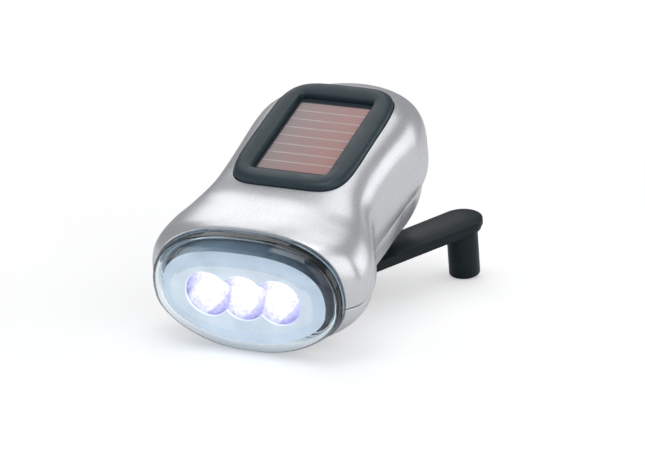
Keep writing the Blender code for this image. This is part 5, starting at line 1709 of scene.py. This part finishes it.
@dataclass
class Crank(Assembly):
    """Yoke, folding arm and turning knob."""

    gap: float = 0.0003
    overrun: float = 0.004
    length: float = 0.0479
    width: float = 0.0124
    tip_width: float = 0.0130
    thickness: float = 0.0036
    cap_thickness: float = 0.0021
    step: float = 0.0006
    drop: float = 0.0017
    fold_pin_offset: float = 0.0051
    fold_pin_radius: float = 0.0008
    edge: float = 0.00035
    ear: float = 0.0026
    yoke_half_length: float = 0.0086
    yoke_corner: float = 0.0022
    yoke_floor: float = 0.0009
    stub_radius: float = 0.0040
    stub_top: float = 0.0095
    shaft_radius: float = 0.0020
    knob_radius: float = 0.00475
    knob_length: float = 0.0144
    knob_gap: float = 0.0006
    knob_edge: float = 0.0005
    knob_edge_steps: int = 4
    pin_radius: float = 0.0014
    pin_head_radius: float = 0.0027
    seat_depth: float = 0.0016
    round_steps: int = 64
    corner_steps: int = 12

    def place(self) -> Matrix:
        """The crank's own frame at rest.

        Returns:
            Its matrix: Z along its axis and X along the arm.
        """
        joints = {joint["name"]: joint for joint in frame["joints"]}
        up = Vector(joints["crank_spin"]["axis"]).normalized()
        across = Vector(joints["arm_fold"]["axis"]).normalized()
        along = across.cross(up).normalized()
        return Matrix.Translation(joints["crank_spin"]["pos_m"]) @ facing(along, up)

    def pin_place(self) -> Matrix:
        """The fold pin's place in the crank's own frame."""
        return Matrix.Translation((self.fold_pin_offset, 0, -self.drop - self.thickness / 2)) @ FORWARD

    def build(self) -> None:
        """Make the crank's pieces."""
        self.arm()
        self.knob()
        self.yoke()
        self.dress(STEEL, "crank_shaft", "shaft_clip", "fold_pin", "knob_pin")
        self.dress(BRASS, "crank_bush")

    def arm_outline(self, inset: float) -> list[tuple[float, float]]:
        """The arm's outline from its fold pin to its round tip.

        Args:
            inset: how far it is drawn in.

        Returns:
            The outline's points.
        """
        root = self.width / 2 - inset
        tip = self.tip_width / 2 - inset
        start = self.fold_pin_offset - self.gap / 3
        points = [(start, -root)]
        for i in range(self.round_steps // 2 + 1):
            angle = math.radians(-90 + 360 * i / self.round_steps)
            points.append((self.length + tip * math.cos(angle), tip * math.sin(angle)))
        points.append((start, root))
        return points

    def arm(self) -> None:
        """The folding arm: a wide upper layer on a narrower one."""
        top = -self.drop
        bottom = top - self.thickness
        cap_low = top - self.cap_thickness
        edge = self.edge
        rings = []
        for inset, z in ((self.step + edge, bottom), (self.step, bottom + edge), (self.step, cap_low),
                         (edge / 2, cap_low), (0, cap_low + edge / 2), (0, top - edge),
                         (edge / 3, top - edge / 3), (edge, top)):
            rings.append([(x, y, z) for x, y in self.arm_outline(inset)])
        body = MeshWork.lofted("crank_lever", rings)
        across = self.pin_place()
        half = self.width / 2
        root = MeshWork.drum("lever_root", self.thickness / 2 - self.gap / 2, -half + self.step / 2,
                             half - self.step / 2, self.round_steps)
        hole = MeshWork.drum("lever_pin_hole", self.fold_pin_radius + self.gap, -2 * half, 2 * half,
                             self.round_steps // 2)
        room = MeshWork.drum("lever_knob_hole", self.pin_radius + self.gap, bottom - self.overrun,
                             top - self.cap_thickness / 2 + self.gap, self.round_steps // 2)
        mesh = MeshWork.combined(body, [(root, across, Operation.JOIN), (hole, across, Operation.CUT),
                                        (room, Matrix.Translation((self.length, 0, 0)), Operation.CUT)])
        self.add("crank_lever", mesh, CRANK_BLACK, Slot.BLACK_PLASTIC, Body.ARM, self.place(),
                 ("crank_arm",))

    def knob(self) -> None:
        """The knob that turns on its pin."""
        top = -self.drop - self.thickness - self.knob_gap
        low = top - self.knob_length
        hole = self.pin_radius + self.gap
        seat = low + self.seat_depth
        edge = self.knob_edge
        radius = self.knob_radius
        head = self.pin_head_radius + self.gap
        angles = quarter(self.knob_edge_steps)
        profile = [(radius - edge, top)]
        profile += [(radius - edge + edge * math.sin(a), top - edge + edge * math.cos(a))
                    for a in angles[1:]]
        profile += [(radius - edge + edge * math.cos(a), low + edge - edge * math.sin(a))
                    for a in angles]
        profile += [(head, low), (head, seat), (hole, seat), (hole, top)]
        mesh = MeshWork.turned("knob_grip", profile, self.round_steps, ring=True)
        place = self.place() @ Matrix.Translation((self.length, 0, 0))
        self.add("knob_grip", mesh, CRANK_BLACK, Slot.BLACK_PLASTIC, Body.KNOB, place,
                 ("crank_knob",))

    def yoke(self) -> None:
        """The yoke whose ears hold the arm's fold pin."""
        top = -self.drop
        bottom = top - self.thickness
        ceiling = top + self.gap
        half = self.width / 2 + self.gap + self.ear
        corner = self.yoke_corner
        outline = []
        for sx, sy, start in ((1, 1, 0), (-1, 1, 90), (-1, -1, 180), (1, -1, 270)):
            for i in range(self.corner_steps + 1):
                angle = math.radians(start + 90 * i / self.corner_steps)
                outline.append((sx * (self.yoke_half_length - corner) + corner * math.cos(angle),
                                sy * (half - corner) + corner * math.sin(angle)))
        body = MeshWork.lofted("crank_hub_yoke", [[(x, y, z) for x, y in outline]
                                                  for z in (bottom, ceiling + self.yoke_floor)])
        room = self.width / 2 + self.gap
        reach = 2 * self.yoke_half_length
        channel = MeshWork.block("yoke_channel", (-reach, -room, bottom - self.overrun),
                                 (reach, room, ceiling))
        hole = MeshWork.drum("yoke_pin_hole", self.fold_pin_radius + self.gap, -2 * half, 2 * half,
                             self.round_steps // 2)
        stub = MeshWork.drum("yoke_stub", self.stub_radius, ceiling + self.yoke_floor / 2,
                             self.stub_top, self.round_steps)
        bore = MeshWork.drum("yoke_bore", self.shaft_radius + self.gap, ceiling + self.yoke_floor,
                             self.stub_top + self.overrun, self.round_steps // 2)
        mesh = MeshWork.combined(body, [(channel, HERE, Operation.CUT),
                                        (hole, self.pin_place(), Operation.CUT),
                                        (stub, HERE, Operation.JOIN), (bore, HERE, Operation.CUT)])
        mesh = MeshWork.bevelled(mesh, self.gap / 2, segments=2)
        self.add("crank_hub_yoke", mesh, CRANK_BLACK, Slot.BLACK_PLASTIC, Body.CRANK_HUB,
                 self.place(), ("crank_yoke",))


@dataclass
class Works(Assembly):
    """What the shells hide: gears, generator, battery and board."""

    def build(self) -> None:
        """Dress the inner nodes."""
        self.dress(NATURAL, "crank_gear", "idler_gear", "coil_bobbin", "battery_cradle")
        self.dress(STEEL, "gear_plate", "idler_axle", "stator_can", "stator_lid", "rotor_shaft",
                   "contact_minus", "contact_plus")
        self.dress(BRASS, "rotor_pinion")
        self.dress(COPPER, "coil_winding")
        self.dress(FERRITE, "rotor_magnet")
        self.dress(CELL_STEEL, "battery_cell_1", "battery_cell_2", "battery_cell_3")
        self.dress(CAN_SLEEVE, "capacitor")
        self.dress(BOARD, "main_board")


@dataclass(frozen=True)
class SoftBox:
    """A square lamp that looks at the torch."""

    name: str
    azimuth_deg: float
    elevation_deg: float
    width: float
    height: float
    power: float
    distance: float = 0.90

    def light(self, aim: Vector) -> None:
        """Set the lamp up.

        Args:
            aim: what it looks at.
        """
        a, e = math.radians(self.azimuth_deg), math.radians(self.elevation_deg)
        back = Vector((math.sin(a) * math.cos(e), -math.cos(a) * math.cos(e), math.sin(e)))
        data = bpy.data.lights.new(self.name, "AREA")
        data.shape = "RECTANGLE"
        data.size, data.size_y = self.width, self.height
        data.energy = self.power
        lamp = linked(self.name, data)
        lamp.location = aim + back * self.distance
        lamp.rotation_euler = (-back).to_track_quat("-Z", "Y").to_euler()


@dataclass(frozen=True)
class Studio:
    """Floor, backdrop, lamps and camera."""

    layout: Matrix
    aim: Point = (-0.0040, 0.0089, 0.0213)
    camera_seat: Point = (0.342948, -0.704093, 0.402400)
    camera_right: Point = (0.912041, 0.402273, -0.079735)
    camera_up: Point = (-0.115987, 0.439518, 0.890714)
    focal_pixels: float = 3000.0
    floor_half: float = 4.0
    floor_depth: float = 0.00005
    shade_start: float = 0.10
    shade_end: float = 0.26
    floor_grey: float = 0.90
    floor_lift: float = 0.38
    floor_roughness: float = 0.9
    world_strength: float = 0.30
    world_colour: Colour = (0.96, 0.98, 1.0)
    clip: tuple[float, float] = (0.05, 20.0)
    lamps: tuple[SoftBox, ...] = (
        SoftBox("top_box", 0, 72, 0.45, 0.45, 1.3),
        SoftBox("rear_top_box", 180, 72, 0.45, 0.45, 0.6),
        SoftBox("left_box", -50, 15, 0.50, 0.50, 0.8),
        SoftBox("rear_left_box", -142, 42, 0.45, 0.42, 0.72),
        SoftBox("right_box", 57, 29, 0.85, 0.85, 2.1),
        SoftBox("rear_right_box", 125, 20, 0.55, 0.55, 1.0),
    )

    def build(self) -> None:
        """Set up the studio."""
        self.world()
        self.floor()
        for lamp in self.lamps:
            lamp.light(Vector(self.aim))
            log.info("lamp %s", lamp.name)
        self.camera()
        bpy.context.scene.view_settings.view_transform = "Standard"

    def world(self) -> None:
        """A plain pale world that the camera sees as white."""
        world = bpy.data.worlds.new("studio")
        world.use_nodes = True
        world.node_tree.nodes.clear()
        bench = NodeBench(world.node_tree)
        seen = bench.add("Background", {"Color": (1.0, 1.0, 1.0, 1.0), "Strength": 1.0})
        light = bench.add("Background", {"Color": (*self.world_colour, 1.0),
                                         "Strength": self.world_strength})
        path = bench.add("LightPath")
        mix = bench.add("MixShader", {"Fac": path.outputs["Is Camera Ray"],
                                      1: light.outputs["Background"], 2: seen.outputs["Background"]})
        bench.add("OutputWorld", {"Surface": mix.outputs["Shader"]})
        bpy.context.scene.world = world

    def floor(self) -> None:
        """A pale floor that takes the torch's shadow and turns white away from it."""
        half, top = self.floor_half, -self.floor_depth
        mesh = MeshWork.block("floor", (-half, -half, 2 * top), (half, half, top))
        floor = linked("floor", mesh)
        bench = ShaderBench("studio_floor")
        bench.fill(bench.shader, {"Base Color": (self.floor_grey,) * 3 + (1.0,),
                                  "Roughness": self.floor_roughness, "Specular IOR Level": 0.0})
        lit = bench.shader.outputs["BSDF"]
        white = bench.add("Emission")
        lift = bench.add("Emission", {"Strength": self.floor_lift})
        path = bench.add("LightPath")
        rays = {0: path.outputs["Is Camera Ray"], 1: path.outputs["Is Transmission Ray"]}
        seen = bench.add("Math", rays, operation="MAXIMUM")
        distance = bench.add("VectorMath", {0: bench.place()}, operation="LENGTH")
        far = bench.spread(distance.outputs["Value"], 0.0, 1.0, self.shade_start, self.shade_end)
        near = bench.add("AddShader", {0: lit, 1: lift.outputs["Emission"]})
        ground = bench.add("MixShader", {"Fac": far, 1: near.outputs["Shader"],
                                         2: white.outputs["Emission"]})
        mix = bench.add("MixShader", {"Fac": seen.outputs["Value"], 1: lit,
                                      2: ground.outputs["Shader"]})
        bench.join(mix.outputs["Shader"], bench.output.inputs["Surface"])
        mesh.materials.append(bench.material)

    def camera(self) -> None:
        """A long lens from the front and the right, looking down, set in the torch's layout."""
        data = bpy.data.cameras.new("camera")
        data.sensor_width = SENSOR_WIDTH
        data.lens = SENSOR_WIDTH * self.focal_pixels / IMAGE_WIDTH
        data.clip_start, data.clip_end = self.clip
        camera = linked("camera", data)
        right = Vector(self.camera_right).normalized()
        back = right.cross(Vector(self.camera_up)).normalized()
        camera.matrix_world = (self.layout @ Matrix.Translation(self.camera_seat)
                               @ facing(right, back))
        bpy.context.scene.camera = camera


def torch_layout() -> Matrix:
    """The torch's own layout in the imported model's space, from the crank's joint.

    Returns:
        Its matrix: Z along the crank's axis and X level.
    """
    joint = next(j for j in frame["joints"] if j["name"] == "crank_spin")
    up = Vector(joint["axis"]).normalized()
    return Matrix.Translation(joint["pos_m"]) @ facing(Vector((1, 0, 0)), up)


def main() -> None:
    """Build the studio and every sub-assembly in order."""
    logging.basicConfig(level=logging.INFO, format="%(name)s: %(message)s", stream=sys.stdout)
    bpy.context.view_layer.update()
    layout = torch_layout()
    Studio(layout).build()
    panel = SolarPanel(layout)
    housing = Housing(layout)
    housing.build(panel)
    panel.build()
    groups = [Nose(layout), Crank(layout), Works(layout)]
    for group in groups:
        group.build()
    for group in (housing, panel, *groups):
        for name in group.made:
            log.info("%s: %s", type(group).__name__, name)


if __name__ == "__main__":
    main()
